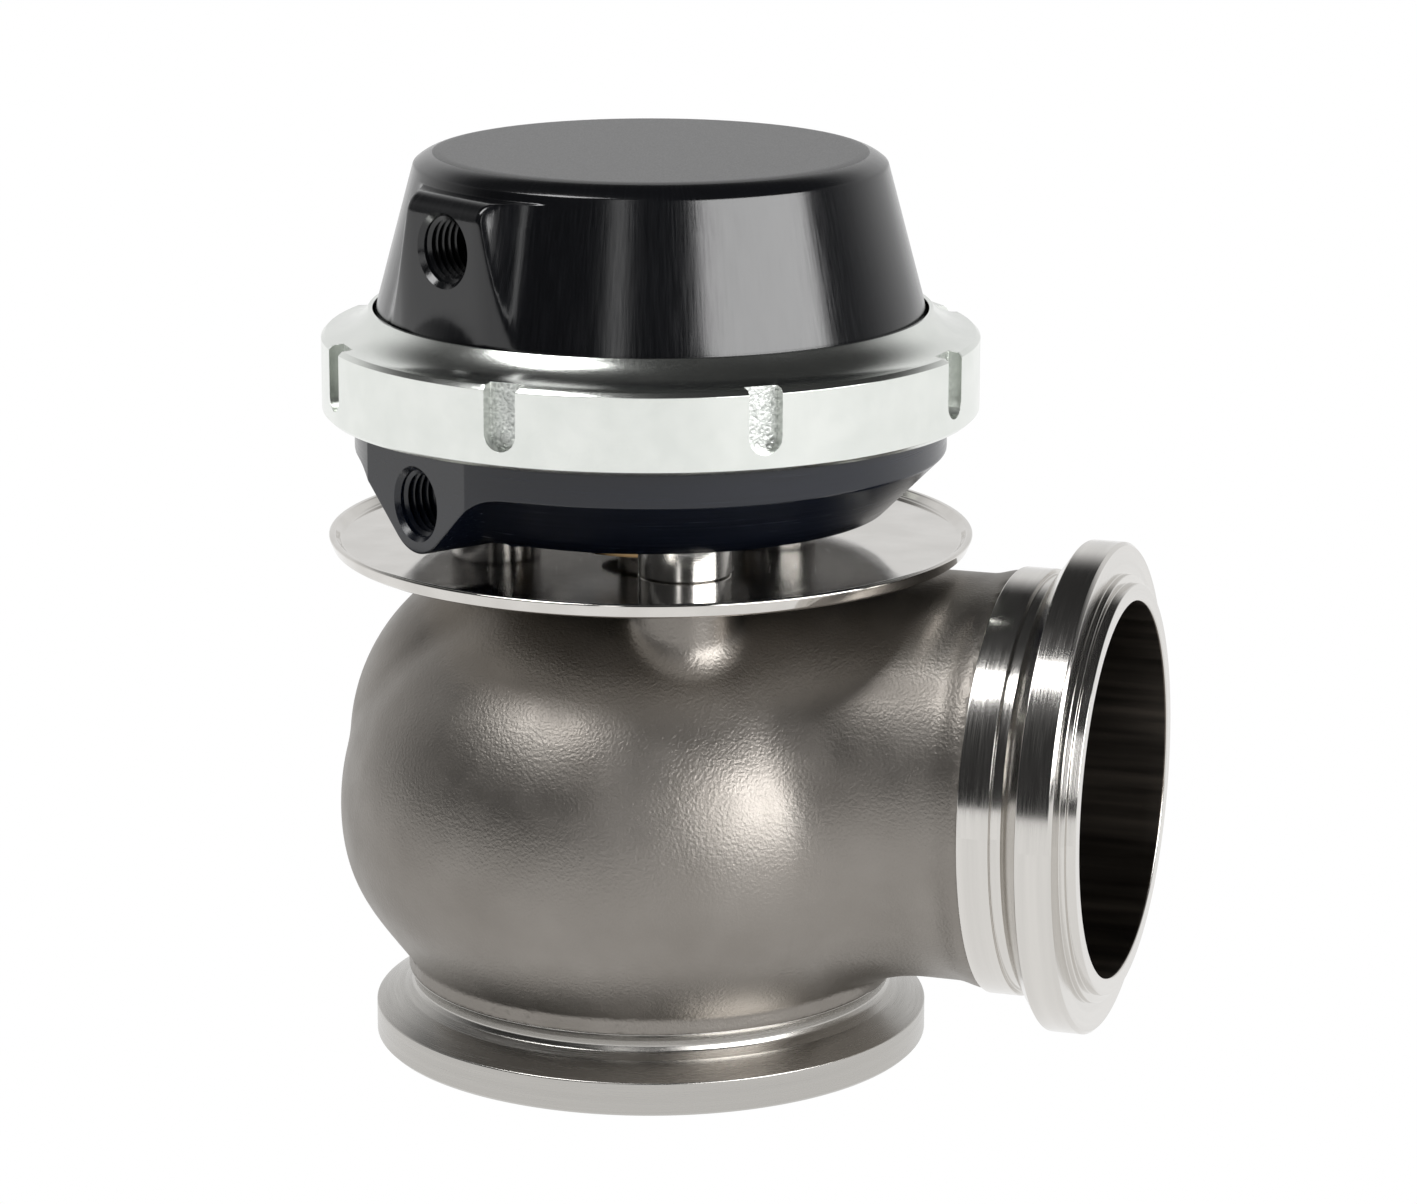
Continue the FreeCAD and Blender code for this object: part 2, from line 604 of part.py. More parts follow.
def cap_boss_section(height, cone_r, half_width, blend_r):
    """Plan outline of the cap's port boss at a height, blended into the cone on both sides."""
    reach = CAP_FOOT_R + 2 * CAP_BOSS_BLEND_TOP
    centre_t = half_width + blend_r
    centre_d = math.sqrt((cone_r + blend_r) ** 2 - centre_t ** 2)
    share = cone_r / (cone_r + blend_r)
    touch = (centre_t * share, centre_d * share)
    turn = (math.atan2(touch[1] - centre_d, touch[0] - centre_t) + 2 * math.pi + math.pi) / 2
    middle = (centre_t + blend_r * math.cos(turn), centre_d + blend_r * math.sin(turn))

    def place(t, d):
        return FreeCAD.Vector(t, -d, height)

    right = [place(touch[0] * 0.8, touch[1] * 0.8), place(*touch), place(*middle),
             place(half_width, centre_d), place(half_width, reach)]
    left = [FreeCAD.Vector(-p.x, p.y, p.z) for p in right]
    edges = [
        Part.LineSegment(right[0], right[1]).toShape(),
        Part.Arc(right[1], right[2], right[3]).toShape(),
        Part.LineSegment(right[3], right[4]).toShape(),
        Part.LineSegment(right[4], left[4]).toShape(),
        Part.LineSegment(left[4], left[3]).toShape(),
        Part.Arc(left[3], left[2], left[1]).toShape(),
        Part.LineSegment(left[1], left[0]).toShape(),
        Part.LineSegment(left[0], right[0]).toShape(),
    ]
    return Part.Wire(edges)


def cap_boss():
    """Port boss of the cap: tapered pad, flat front face and a rounded upper edge."""
    ledge_r = CAP_FOOT_R - (LEDGE_Z - CONE_Z) * CONE_TAN
    pad = Part.makeLoft([
        cap_boss_section(CONE_Z, CAP_FOOT_R, CAP_BOSS_HALF_FOOT, CAP_BOSS_BLEND_FOOT),
        cap_boss_section(LEDGE_Z, ledge_r, CAP_BOSS_HALF_TOP, CAP_BOSS_BLEND_TOP),
    ], True, True)
    nose = CAP_BOSS_NOSE_R
    half = math.sqrt(0.5)
    face = -UPPER_PORT_FACE

    def place(d, z):
        return FreeCAD.Vector(-CAP_FOOT_R, d, z)

    corners = [place(0, CONE_Z), place(face, CONE_Z), place(face, LEDGE_Z - nose), place(face + nose, LEDGE_Z),
               place(0, LEDGE_Z)]
    middle = place(face + nose * (1 - half), LEDGE_Z - nose * (1 - half))
    edges = [
        Part.LineSegment(corners[0], corners[1]).toShape(),
        Part.LineSegment(corners[1], corners[2]).toShape(),
        Part.Arc(corners[2], middle, corners[3]).toShape(),
        Part.LineSegment(corners[3], corners[4]).toShape(),
        Part.LineSegment(corners[4], corners[0]).toShape(),
    ]
    block = Part.Face(Part.Wire(edges)).extrude(FreeCAD.Vector(2 * CAP_FOOT_R, 0, 0))
    return pad.common(block).common(tube(CAP_FOOT_R, 0, CONE_Z, TOP_Z))


def cap():
    flange_r = DIAPHRAGM_RIM_R
    top_width = CREASE_R - CAP_FLAT_R
    round_r = (top_width ** 2 + CAP_TOP_RISE ** 2) / (2 * CAP_TOP_RISE)
    turn = math.asin(top_width / round_r) / 2
    round_middle = (CAP_FLAT_R + round_r * math.sin(turn), TOP_Z - round_r * (1 - math.cos(turn)))
    outside = turned([
        line((0, FLANGE_Z), (flange_r, FLANGE_Z)),
        line((flange_r, FLANGE_Z), (flange_r, LIP_Z)),
        line((flange_r, LIP_Z), (CAP_FOOT_R, LIP_Z)),
        line((CAP_FOOT_R, LIP_Z), (CAP_FOOT_R, CONE_Z)),
        line((CAP_FOOT_R, CONE_Z), (CREASE_R, CREASE_Z)),
        arc((CREASE_R, CREASE_Z), round_middle, (CAP_FLAT_R, TOP_Z)),
        line((CAP_FLAT_R, TOP_Z), (0, TOP_Z)),
        line((0, TOP_Z), (0, FLANGE_Z)),
    ])
    outside = outside.fuse(about_axis(cap_boss(), UPPER_PORT_AZIMUTH))
    block = Part.makeBox(2 * CAP_FOOT_R, CAP_FOOT_R, TOP_Z - CONE_Z)
    block.translate(FreeCAD.Vector(-CAP_FOOT_R, -UPPER_PORT_FACE - CAP_FOOT_R, CONE_Z))
    outside = outside.cut(about_axis(block, UPPER_PORT_AZIMUTH))
    wall = CAP_WALL / math.cos(math.radians(CAP_CONE_DEG))
    knee = CONE_Z + (CAP_FOOT_R - wall - HOUSING_BORE_R) / CONE_TAN
    upper_r = CAP_FOOT_R - wall - (CEILING_Z - CAP_INNER_FILLET - CONE_Z) * CONE_TAN
    hollow = turned_polygon([
        (0, FLANGE_Z),
        (HOUSING_BORE_R, FLANGE_Z),
        (HOUSING_BORE_R, knee),
        (upper_r, CEILING_Z - CAP_INNER_FILLET),
        (upper_r - CAP_INNER_FILLET, CEILING_Z),
        (CAP_SPIGOT_R, CEILING_Z),
        (CAP_SPIGOT_R, CEILING_Z - CAP_SPIGOT_DROP),
        (0, CEILING_Z - CAP_SPIGOT_DROP),
    ])
    pad = Part.makeCylinder(
        UPPER_PAD_R,
        UPPER_PORT_FACE - UPPER_PAD_INNER,
        FreeCAD.Vector(0, -UPPER_PORT_FACE, UPPER_PORT_Z),
        FreeCAD.Vector(0, 1, 0),
    )
    hollow = hollow.cut(about_axis(pad, UPPER_PORT_AZIMUTH))
    hole = port_hole(UPPER_PORT_FACE, UPPER_PORT_Z, UPPER_PORT_FACE - UPPER_PAD_INNER, UPPER_PAD_INNER)
    return outside.cut([hollow, about_axis(hole, UPPER_PORT_AZIMUTH)]).removeSplitter()


def lock_ring():
    bore_r = HOUSING_R + RING_BORE_GAP
    lip_r = CAP_FOOT_R + RING_LIP_GAP
    wall_top = LIP_Z + RING_WALL_TOP
    edge = (RING_R - RING_CHAMFER, wall_top + RING_CHAMFER)
    lip = (lip_r + RING_LIP_FLAT, LIP_Z + RING_LIP_THICK)
    width = edge[0] - lip[0]
    rise = lip[1] - edge[1]
    cove_r = (width ** 2 + rise ** 2) / (2 * rise)
    turn = math.asin(width / cove_r) / 2
    cove_middle = (edge[0] - cove_r * math.sin(turn), edge[1] + cove_r * (1 - math.cos(turn)))
    foot_z = CLAMP_Z - RING_SKIRT
    ring = turned([
        line((bore_r, foot_z), (RING_R - RING_CHAMFER, foot_z)),
        line((RING_R - RING_CHAMFER, foot_z), (RING_R, foot_z + RING_CHAMFER)),
        line((RING_R, foot_z + RING_CHAMFER), (RING_R, wall_top)),
        line((RING_R, wall_top), edge),
        arc(edge, cove_middle, lip),
        line(lip, (lip_r, lip[1])),
        line((lip_r, lip[1]), (lip_r, LIP_Z)),
        line((lip_r, LIP_Z), (bore_r, LIP_Z)),
        line((bore_r, LIP_Z), (bore_r, foot_z)),
    ])
    slot_z = foot_z + NOTCH_FOOT_RISE + NOTCH_WIDTH / 2
    floor = RING_R - NOTCH_DEPTH
    slot = Part.makeBox(NOTCH_WIDTH, 2 * NOTCH_DEPTH, RING_LIP_THICK + LIP_Z - slot_z)
    slot.translate(FreeCAD.Vector(-NOTCH_WIDTH / 2, -floor - 2 * NOTCH_DEPTH, slot_z))
    foot = Part.makeCylinder(
        NOTCH_WIDTH / 2, 2 * NOTCH_DEPTH, FreeCAD.Vector(0, -floor, slot_z), FreeCAD.Vector(0, -1, 0)
    )
    notch = slot.fuse(foot)
    return ring.cut([about_axis(notch, NOTCH_AZIMUTH + k * 360 / NOTCH_COUNT) for k in range(NOTCH_COUNT)])


def parts():
    """Each node's name with its solid, or its group of solids."""
    nodes = {
        "valve_body": valve_body(),
        "valve_seat": valve_seat(),
        "valve": valve(),
        "valve_guide": valve_guide(),
        "heat_shield": heat_shield(),
        "standoff_spacers": Part.makeCompound(at_screws(
            tube(SPACER_R, SCREW_R + SCREW_CLEARANCE, SPACER_Z, HOUSING_Z))),
        "actuator_screws": Part.makeCompound(at_screws(screw())),
        "base_housing": base_housing(),
        "stem_bush": stem_bush(),
        "stem_seal": stem_seal(),
        "seal_retainer": seal_retainer(),
        "diaphragm": diaphragm(),
        "clamp_plate": clamp_plate(),
        "spring_cup": spring_cup(),
        "nut_washer": nut_washer(),
        "stem_nut": stem_nut(),
        "cap": cap(),
        "lock_ring": lock_ring(),
    }
    for name, (wire_r, turns, _) in SPRINGS.items():
        nodes[name] = spring(SPRING_MEAN_R[name], wire_r, turns)
    return nodes


os.makedirs("parts", exist_ok=True)
for node_name, node_shape in parts().items():
    node_shape.exportStep(os.path.join("parts", node_name + ".step"))
    print(node_name, len(node_shape.Solids), "solids", round(node_shape.Volume, 1), node_shape.isValid())
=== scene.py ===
import math

import bpy
import numpy as np
from mathutils import Matrix, Vector


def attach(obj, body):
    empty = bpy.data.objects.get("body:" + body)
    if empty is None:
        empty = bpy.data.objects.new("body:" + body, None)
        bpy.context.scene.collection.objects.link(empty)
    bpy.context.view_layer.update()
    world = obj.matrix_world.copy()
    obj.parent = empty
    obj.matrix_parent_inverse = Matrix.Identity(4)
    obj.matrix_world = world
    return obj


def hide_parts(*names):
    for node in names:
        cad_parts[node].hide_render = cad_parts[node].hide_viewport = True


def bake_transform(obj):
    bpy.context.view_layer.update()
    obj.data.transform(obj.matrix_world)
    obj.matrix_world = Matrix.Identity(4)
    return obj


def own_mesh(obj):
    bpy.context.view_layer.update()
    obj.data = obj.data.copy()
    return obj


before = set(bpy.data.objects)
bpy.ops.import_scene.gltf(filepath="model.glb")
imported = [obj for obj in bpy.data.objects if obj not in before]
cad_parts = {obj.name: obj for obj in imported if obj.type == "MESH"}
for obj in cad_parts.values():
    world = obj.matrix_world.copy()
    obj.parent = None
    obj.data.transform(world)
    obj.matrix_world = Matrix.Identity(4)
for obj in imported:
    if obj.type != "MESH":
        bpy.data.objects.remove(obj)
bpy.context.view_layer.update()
bpy.ops.object.select_all(action="DESELECT")
scene = bpy.context.scene
MM = 0.001

# Place of the camera, in degrees, millimetres and pixels
CAMERA_AZIMUTH = 18.59
CAMERA_ELEVATION = 13.617
CAMERA_DISTANCE = 592.55
CAMERA_AIM_Z = 58
CAMERA_PAN = -0.675
CAMERA_TILT = -0.377
CAMERA_ROLL = -0.007
FOCAL_LENGTH = 4877.8
PHOTO_WIDTH = 1417
SENSOR_WIDTH = 36

# Sizes of the model, in millimetres. An azimuth is counted about the valve axis from -Y towards +X.

# Casting: the bulb is an arc that turns about the valve axis at the radius of its ring
BULB_RING_R = 8.7
BULB_Z = 28.9
BULB_ARC_R = 29.3
CAVITY_ARC_R = 24.5
NECK_SLIMMING = 1.35
NECK_Z = 12.0
NECK_SPREAD = 6.6
NECK_FOOT_Z = 8.6
NECK_FADE = 1.8
PIPE_R = 24.5
PIPE_BACK_X = -13.2
PIPE_FILLET_R = 12.0
FLARE_X = 41.5
FLARE_LENGTH = 3.9
FLARE_RISE = 0.7
GUIDE_BOSS_R = 10.5
GUIDE_BOSS_FOOT_Z = 44.4
GUIDE_BOSS_TOP_Z = 60.6
GUIDE_BOSS_FILLET_R = 1.5
GUIDE_HOLE_R = 7.0
SCREW_BOSS_R = 5.9
SCREW_BOSS_FOOT_Z = 30
SCREW_BOSS_FILLET_R = 2.0
SCREW_AZIMUTHS = (30.0, 150.0, -90.0)
SCREW_CIRCLE_R = 20.0
BODY_FOOT_Z = 8.2
BODY_TOP_Z = 61.5
CAST_LAP = 0.4
CAST_STEP = 0.68

# Flanges
FLANGE_CHAMFER = 0.4
THROAT_R = 25.5
THROAT_TOP_Z = 12.0
INLET_RIM_R = 33.9
INLET_RIM_Z = 4.1
INLET_CONE_R = 30.5
INLET_CONE_Z = 5.795
INLET_TOP_Z = 8.9
OUTLET_Z = 35.7
OUTLET_BORE_R = 22.5
BORE_START_X = 20.0
BORE_GAP = 0.06
SPIGOT_R = 24.6
SPIGOT_X = 59.45
SPIGOT_FOOT_X = 58.35
OUTLET_FACE_X = 57.65
OUTLET_RIM_R = 29.4
OUTLET_RIM_X = 53.45
OUTLET_CONE_X = 50.79
GROOVE_X = 49.39
GROOVE_R = 25.0
BAND_R = 25.6
BAND_X = 45.49

# Shield and spacers
SHIELD_HOLE_R = 12.0
SHIELD_BEND_R = 38.35
SHIELD_RIM_R = 39.06
SHIELD_LIP_R = 38.2
SHIELD_THICK = 0.9
SHIELD_TOP_Z = 62.4
SHIELD_RIM_Z = 63.3
SCREW_HOLE_R = 3.3
SPACER_R = 5.5

# Lower housing
BASE_R = 35.66
BASE_FOOT_Z = 66.3
BASE_FOOT_R = 28.2
BASE_CENTRE_R = 24.0
BASE_FLOOR_Z = 72.3
BASE_FLOOR_R = 21.5
BASE_BORE_FOOT_Z = 77.3
CHAMBER_R = 29.5
CLAMP_Z = 83.2
TONGUE_FOOT_R = 5.9
TONGUE_SLOPE = 41.0
TONGUE_TOP_Z = 74.06
RUN_OUT_R = 11.0
NO_TONGUE = 200.0

# Cap. The half width and the blend of its port boss are given at the foot and at the top.
CAP_FOOT_R = 33.0
CAP_FOOT_Z = 90.5
CAP_SLANT = math.tan(math.radians(15))
CAP_WALL = 3.3 / math.cos(math.radians(15))
CAP_EDGE_R = 28.3
CAP_FLAT_R = 24.7
CAP_EDGE_RISE = 1.45
CAP_TOP_Z = 109.5
CAP_CEILING_Z = 105.2
CAP_RIM_R = 35.2
CAP_RIM_Z = 87.0
CAP_RIM_FOOT_Z = 84.4
BOSS_TOP_Z = 107.0
BOSS_EDGE_R = 2.3
BOSS_RISE = BOSS_TOP_Z - CAP_FOOT_Z
BOSS_HALF = (8.6, 5.1)
BOSS_BLEND = (6.5, 10.5)
BOSS_ROWS = 72
BOSS_EDGE_ROWS = 30

# Ports
PORT_R = 3.95
PORT_CHAMFER = 0.55
THREAD_PITCH = 0.94
THREAD_DEPTH = 0.45
PORT_MOUTH = 0.3
PORT_PASSAGE_R = 2.0
LOWER_PORT = {"azimuth": -34.9, "face": 34.2, "height": 70.8, "floor": 27.2}
UPPER_PORT = {"azimuth": -29.4, "face": 32.3, "height": 101.0, "floor": 25.5}

# Lock ring
RING_R = 39.5
RING_FOOT_Z = 78.3
RING_EDGE_Z = 87.85
RING_CHAMFER = 0.5
RING_BORE_R = 35.91
RING_LIP_R = 33.8
RING_LIP_BORE_R = 33.3
RING_TOP_Z = 90.75
NOTCH_AZIMUTH = 37.8
NOTCH_COUNT = 8
NOTCH_STEP = 360 / NOTCH_COUNT
NOTCH_R = 2.0
NOTCH_FLOOR_R = 37.7
NOTCH_FOOT_Z = 80.3
NOTCH_TOOL_TOP_Z = 93
NOTCH_TOOL_DEPTH = 4.3

# Springs and diaphragm. A spring has its node, mean radius, wire radius and turns.
SPRINGS = (("outer_spring", 18.6, 1.6, 4), ("middle_spring", 13.9, 1.3, 5), ("inner_spring", 9.9, 1.1, 6))
SPRING_FOOT_Z = 78.0
STEM_R = 4.0

# Modelling and studio
MERGE = 0.001 * MM
CORNER_SEGMENTS = 5
LAMP_DISTANCE = 0.8
ROOM_LEVEL = 0.03
BACKDROP_LEVEL = 0.85


# Camera, from the fit of the flange, shield and ring edges in the photograph

def make_camera():
    azimuth, elevation = math.radians(CAMERA_AZIMUTH), math.radians(CAMERA_ELEVATION)
    back = Vector((math.sin(azimuth) * math.cos(elevation), -math.cos(azimuth) * math.cos(elevation),
                   math.sin(elevation)))
    right = Vector((math.cos(azimuth), math.sin(azimuth), 0))
    up = back.cross(right)
    place = Vector((0, 0, CAMERA_AIM_Z)) + back * CAMERA_DISTANCE
    for axis, angle in ((up, CAMERA_PAN), (right, CAMERA_TILT), (back, CAMERA_ROLL)):
        turn = Matrix.Rotation(math.radians(angle), 3, axis)
        right, up, back = turn @ right, turn @ up, turn @ back
    data = bpy.data.cameras.new("camera")
    data.sensor_fit = "HORIZONTAL"
    data.sensor_width = SENSOR_WIDTH
    data.lens = FOCAL_LENGTH * SENSOR_WIDTH / PHOTO_WIDTH
    data.clip_start = 0.01
    camera = bpy.data.objects.new("camera", data)
    scene.collection.objects.link(camera)
    rows = Matrix((right, up, back)).transposed()
    camera.matrix_world = Matrix.Translation(place * MM) @ rows.to_4x4()
    scene.camera = camera


# Materials

class Graph:
    """A node material with one Principled shader, whose textures read object coordinates in metres."""

    def __init__(self, name, **sockets):
        self.material = bpy.data.materials.new(name)
        self.material.use_nodes = True
        self.tree = self.material.node_tree
        self.tree.nodes.clear()
        self.shader = self.node("ShaderNodeBsdfPrincipled")
        output = self.node("ShaderNodeOutputMaterial")
        self.tree.links.new(self.shader.outputs["BSDF"], output.inputs["Surface"])
        self.place = self.node("ShaderNodeTexCoord").outputs["Object"]
        for socket, value in sockets.items():
            self.feed(self.shader, socket.replace("_", " "), value)

    def feed(self, node, socket, value):
        if isinstance(value, bpy.types.NodeSocket):
            self.tree.links.new(value, node.inputs[socket])
        else:
            node.inputs[socket].default_value = value

    def node(self, kind, inputs=None, **settings):
        node = self.tree.nodes.new(kind)
        for key, value in settings.items():
            setattr(node, key, value)
        for socket, value in (inputs or {}).items():
            self.feed(node, socket, value)
        return node

    def math(self, operation, first, second=0.0):
        return self.node("ShaderNodeMath", {0: first, 1: second}, operation=operation).outputs[0]

    def noise(self, size_mm, detail=2.0, vector=None, roughness=0.5, stretch=None):
        vector = vector or self.place
        if stretch:
            vector = self.node("ShaderNodeMapping", {"Vector": vector, "Scale": stretch}).outputs[0]
        inputs = {"Vector": vector, "Scale": 1000.0 / size_mm, "Detail": detail, "Roughness": roughness}
        return self.node("ShaderNodeTexNoise", inputs).outputs[0]

    def ramp(self, factor, *stops):
        node = self.node("ShaderNodeValToRGB", {"Fac": factor})
        elements = node.color_ramp.elements
        while len(elements) < len(stops):
            elements.new(0.5)
        for element, (position, color) in zip(elements, stops):
            element.position = position
            element.color = (*color, 1)
        return node.outputs["Color"]

    def span(self, value, low, high, to_low=0.0, to_high=1.0):
        inputs = {"Value": value, "From Min": low, "From Max": high, "To Min": to_low, "To Max": to_high}
        return self.node("ShaderNodeMapRange", inputs).outputs[0]

    def turned(self, axis="Z", centre_mm=0.0):
        """Coordinates of a turned surface: radius and height in metres, and a little of the angle."""
        x, y, z = self.node("ShaderNodeSeparateXYZ", {0: self.place}).outputs
        along, across, rise = (z, x, y) if axis == "Z" else (x, y, z)
        if centre_mm:
            rise = self.math("SUBTRACT", rise, centre_mm * MM)
        squares = (self.math("MULTIPLY", across, across), self.math("MULTIPLY", rise, rise))
        radius = self.math("SQRT", self.math("ADD", *squares))
        angle = self.math("MULTIPLY", self.math("ARCTAN2", rise, across), 0.0006)
        return self.node("ShaderNodeCombineXYZ", {0: radius, 1: along, 2: angle}).outputs[0]

    def bump(self, height, distance_mm):
        inputs = {"Height": height, "Distance": distance_mm * MM, "Strength": 1.0}
        return self.node("ShaderNodeBump", inputs).outputs[0]

    def finish(self, **sockets):
        for socket, value in sockets.items():
            self.feed(self.shader, socket.replace("_", " "), value)
        return self.material


def cast_material():
    g = Graph("cast_skin", Metallic=1.0)
    tone = g.ramp(g.noise(11.0, 3.0), (0.3, (0.245, 0.226, 0.204)), (0.7, (0.285, 0.265, 0.242)))
    grit = g.noise(0.36, 2.0)
    coarse = g.noise(1.6, 2.0)
    pebble = g.math("ADD", grit, g.math("MULTIPLY", coarse, 0.2))
    rough = g.span(g.noise(5.0, 2.0), 0.3, 0.7, 0.38, 0.45)
    return g.finish(Base_Color=tone, Roughness=rough, Normal=g.bump(pebble, 0.055))


# Painted shade: the casting's hollow, its outlet bore and its foot face are painted much darker than the
# skin outside, standing in for the shade inside them.
def shaded_inner_cast_material():
    g = Graph("cast_inside_painted_shade", Metallic=0.8)
    tone = g.ramp(g.noise(6.0, 3.0), (0.3, (0.05, 0.042, 0.036)), (0.7, (0.11, 0.095, 0.08)))
    return g.finish(Base_Color=tone, Roughness=0.62, Normal=g.bump(g.noise(0.8, 3.0), 0.16))


# Painted shade: the outlet bore's steel is painted far darker than the same turned steel of the flange
# outside, standing in for the shade in the bore; its streaks along the bore are its own marks.
def shaded_bore_material():
    g = Graph("bore_steel_painted_shade", Metallic=1.0)
    streak = g.noise(1.6, 3.0, stretch=(0.06, 1.0, 1.0))
    tone = g.ramp(streak, (0.3, (0.10, 0.09, 0.08)), (0.7, (0.18, 0.155, 0.13)))
    rough = g.span(streak, 0.3, 0.7, 0.28, 0.40)
    return g.finish(Base_Color=tone, Roughness=rough, Normal=g.bump(streak, 0.01))


def turned_material(name, axis, centre_mm, color, rough, grain, anisotropy):
    """Finish of a lathe: fine grooves round the axis, which also stretch the gloss across them."""
    g = Graph(name, Metallic=1.0, Anisotropic=anisotropy)
    vector = g.turned(axis, centre_mm)
    grooves = g.noise(0.12, 2.0, vector=vector)
    wide = g.noise(1.3, 2.0, vector=vector)
    low = tuple(0.92 * c for c in color)
    tone = g.ramp(wide, (0.3, low), (0.7, color))
    tangent = g.node("ShaderNodeTangent", direction_type="RADIAL", axis=axis).outputs[0]
    gloss = g.span(grooves, 0.3, 0.7, rough - 0.03, rough + 0.05)
    return g.finish(Base_Color=tone, Roughness=gloss, Tangent=tangent, Normal=g.bump(grooves, grain))


def mirror_material():
    g = Graph("mirror_steel", Metallic=1.0)
    swirl = g.noise(3.0, 4.0, vector=g.turned())
    smudge = g.noise(7.0, 4.0)
    tone = g.ramp(smudge, (0.35, (0.60, 0.58, 0.55)), (0.65, (0.68, 0.66, 0.63)))
    rough = g.span(smudge, 0.35, 0.65, 0.05, 0.10)
    return g.finish(Base_Color=tone, Roughness=rough, Normal=g.bump(swirl, 0.006))


def black_material(name, rough, streaks, color):
    """Black anodising. Its turning marks run up the cone, round the axis, or are left out."""
    g = Graph(name, Metallic=0.0)
    g.shader.inputs["IOR"].default_value = 1.55
    fine = g.noise(0.16, 1.0)
    vector = g.turned()
    if streaks == "up":
        _, rise, turn = g.node("ShaderNodeSeparateXYZ", {0: vector}).outputs
        sockets = {0: g.math("MULTIPLY", turn, 55.0), 1: g.math("MULTIPLY", rise, 0.05)}
        vector = g.node("ShaderNodeCombineXYZ", sockets).outputs[0]
    line = fine if streaks == "none" else g.noise(0.30, 3.0, vector=vector, roughness=0.6)
    high = tuple(1.6 * c for c in color)
    height = g.math("ADD", line, g.math("MULTIPLY", fine, 0.5))
    gloss = g.span(line, 0.3, 0.7, rough - 0.04, rough + 0.06)
    return g.finish(Base_Color=g.ramp(line, (0.3, color), (0.7, high)), Roughness=gloss,
                    Normal=g.bump(height, 0.006))


def silver_material():
    g = Graph("silver_ring", Metallic=1.0)
    line = g.noise(0.22, 2.0, vector=g.turned())
    fine = g.noise(0.15, 1.0)
    tone = g.ramp(g.noise(5.0, 2.0), (0.3, (0.76, 0.785, 0.75)), (0.7, (0.82, 0.84, 0.805)))
    return g.finish(Base_Color=tone, Roughness=g.span(fine, 0.3, 0.7, 0.16, 0.24),
                    Normal=g.bump(g.math("ADD", line, g.math("MULTIPLY", fine, 0.5)), 0.004))


def notch_material():
    g = Graph("silver_notch_floor", Metallic=1.0)
    pebble = g.noise(0.40, 2.0)
    tone = g.ramp(pebble, (0.3, (0.42, 0.44, 0.42)), (0.7, (0.80, 0.82, 0.79)))
    return g.finish(Base_Color=tone, Roughness=0.34, Normal=g.bump(pebble, 0.10))


def plain_metal(name, color, rough):
    g = Graph(name, Metallic=1.0)
    grain = g.noise(0.2, 2.0, vector=g.turned())
    tone = g.ramp(grain, (0.3, tuple(0.85 * c for c in color)), (0.7, color))
    gloss = g.span(grain, 0.3, 0.7, rough - 0.05, rough + 0.08)
    return g.finish(Base_Color=tone, Roughness=gloss, Normal=g.bump(grain, 0.01))


def rubber_material(name, color):
    g = Graph(name, Metallic=0.0)
    weave = g.noise(0.5, 3.0)
    tone = g.ramp(weave, (0.3, color), (0.7, tuple(1.5 * c for c in color)))
    return g.finish(Base_Color=tone, Roughness=0.75, Normal=g.bump(weave, 0.05))


MATERIALS = {
    "cast": cast_material(),
    # The inside finish is painted shade for the casting's hollow.
    "inside": shaded_inner_cast_material(),
    # The bore finish is painted shade for the inside of the outlet flange.
    "bore": shaded_bore_material(),
    "inlet_turned": turned_material("turned_inlet", "Z", 0.0, (0.50, 0.485, 0.46), 0.24, 0.003, 0.5),
    "outlet_turned": turned_material("turned_outlet", "X", OUTLET_Z, (0.68, 0.66, 0.63), 0.13, 0.003, 0.4),
    "spacer": turned_material("turned_spacer", "Z", 0.0, (0.70, 0.69, 0.67), 0.16, 0.004, 0.4),
    "mirror": mirror_material(),
    "cap_black": black_material("black_cap", 0.17, "up", (0.003, 0.0032, 0.004)),
    "cap_top": black_material("black_cap_top", 0.34, "none", (0.03, 0.03, 0.031)),
    "base_black": black_material("black_base", 0.22, "round", (0.002, 0.0034, 0.008)),
    "silver": silver_material(),
    "notch": notch_material(),
    "valve": plain_metal("ground_valve", (0.46, 0.43, 0.40), 0.3),
    "seat": plain_metal("turned_seat", (0.40, 0.37, 0.34), 0.32),
    "bronze": plain_metal("guide_bronze_finish", (0.60, 0.40, 0.20), 0.35),
    "zinc": plain_metal("zinc_finish", (0.62, 0.60, 0.52), 0.35),
    "aluminium": plain_metal("turned_aluminium", (0.62, 0.63, 0.64), 0.35),
    "spring": plain_metal("spring_wire", (0.30, 0.30, 0.31), 0.38),
    "seal": rubber_material("seal_rubber_finish", (0.012, 0.012, 0.012)),
    "diaphragm": rubber_material("diaphragm_fabric", (0.11, 0.03, 0.02)),
}


# Modelling helpers, whose sizes are all in millimetres

def deselect_all():
    if bpy.context.object and bpy.context.object.mode != "OBJECT":
        bpy.ops.object.mode_set(mode="OBJECT")
    bpy.ops.object.select_all(action="DESELECT")


def use_only(obj):
    deselect_all()
    obj.select_set(True)
    bpy.context.view_layer.objects.active = obj


def draw_profile(corners, along_outlet=False):
    """Closed profile drawn corner by corner: radius from the axis, place along it, and rounding."""
    places = [Vector((h, 0, OUTLET_Z + r) if along_outlet else (r, 0, h)) * MM for r, h, _ in corners]
    deselect_all()
    bpy.ops.mesh.primitive_plane_add(size=MM)
    profile = bpy.context.object
    bpy.ops.object.mode_set(mode="EDIT")
    bpy.ops.mesh.merge(type="CENTER")
    bpy.ops.transform.translate(value=places[0])
    for here, there in zip(places, places[1:] + places[:1]):
        bpy.ops.mesh.extrude_region_move(TRANSFORM_OT_translate={"value": there - here})
    bpy.ops.mesh.select_all(action="SELECT")
    bpy.ops.mesh.remove_doubles(threshold=MERGE)
    for i, (_, _, rounding) in enumerate(corners):
        if rounding > 0:
            round_corner(profile, places[i - 1], places[i], places[(i + 1) % len(places)], rounding * MM)
    return profile


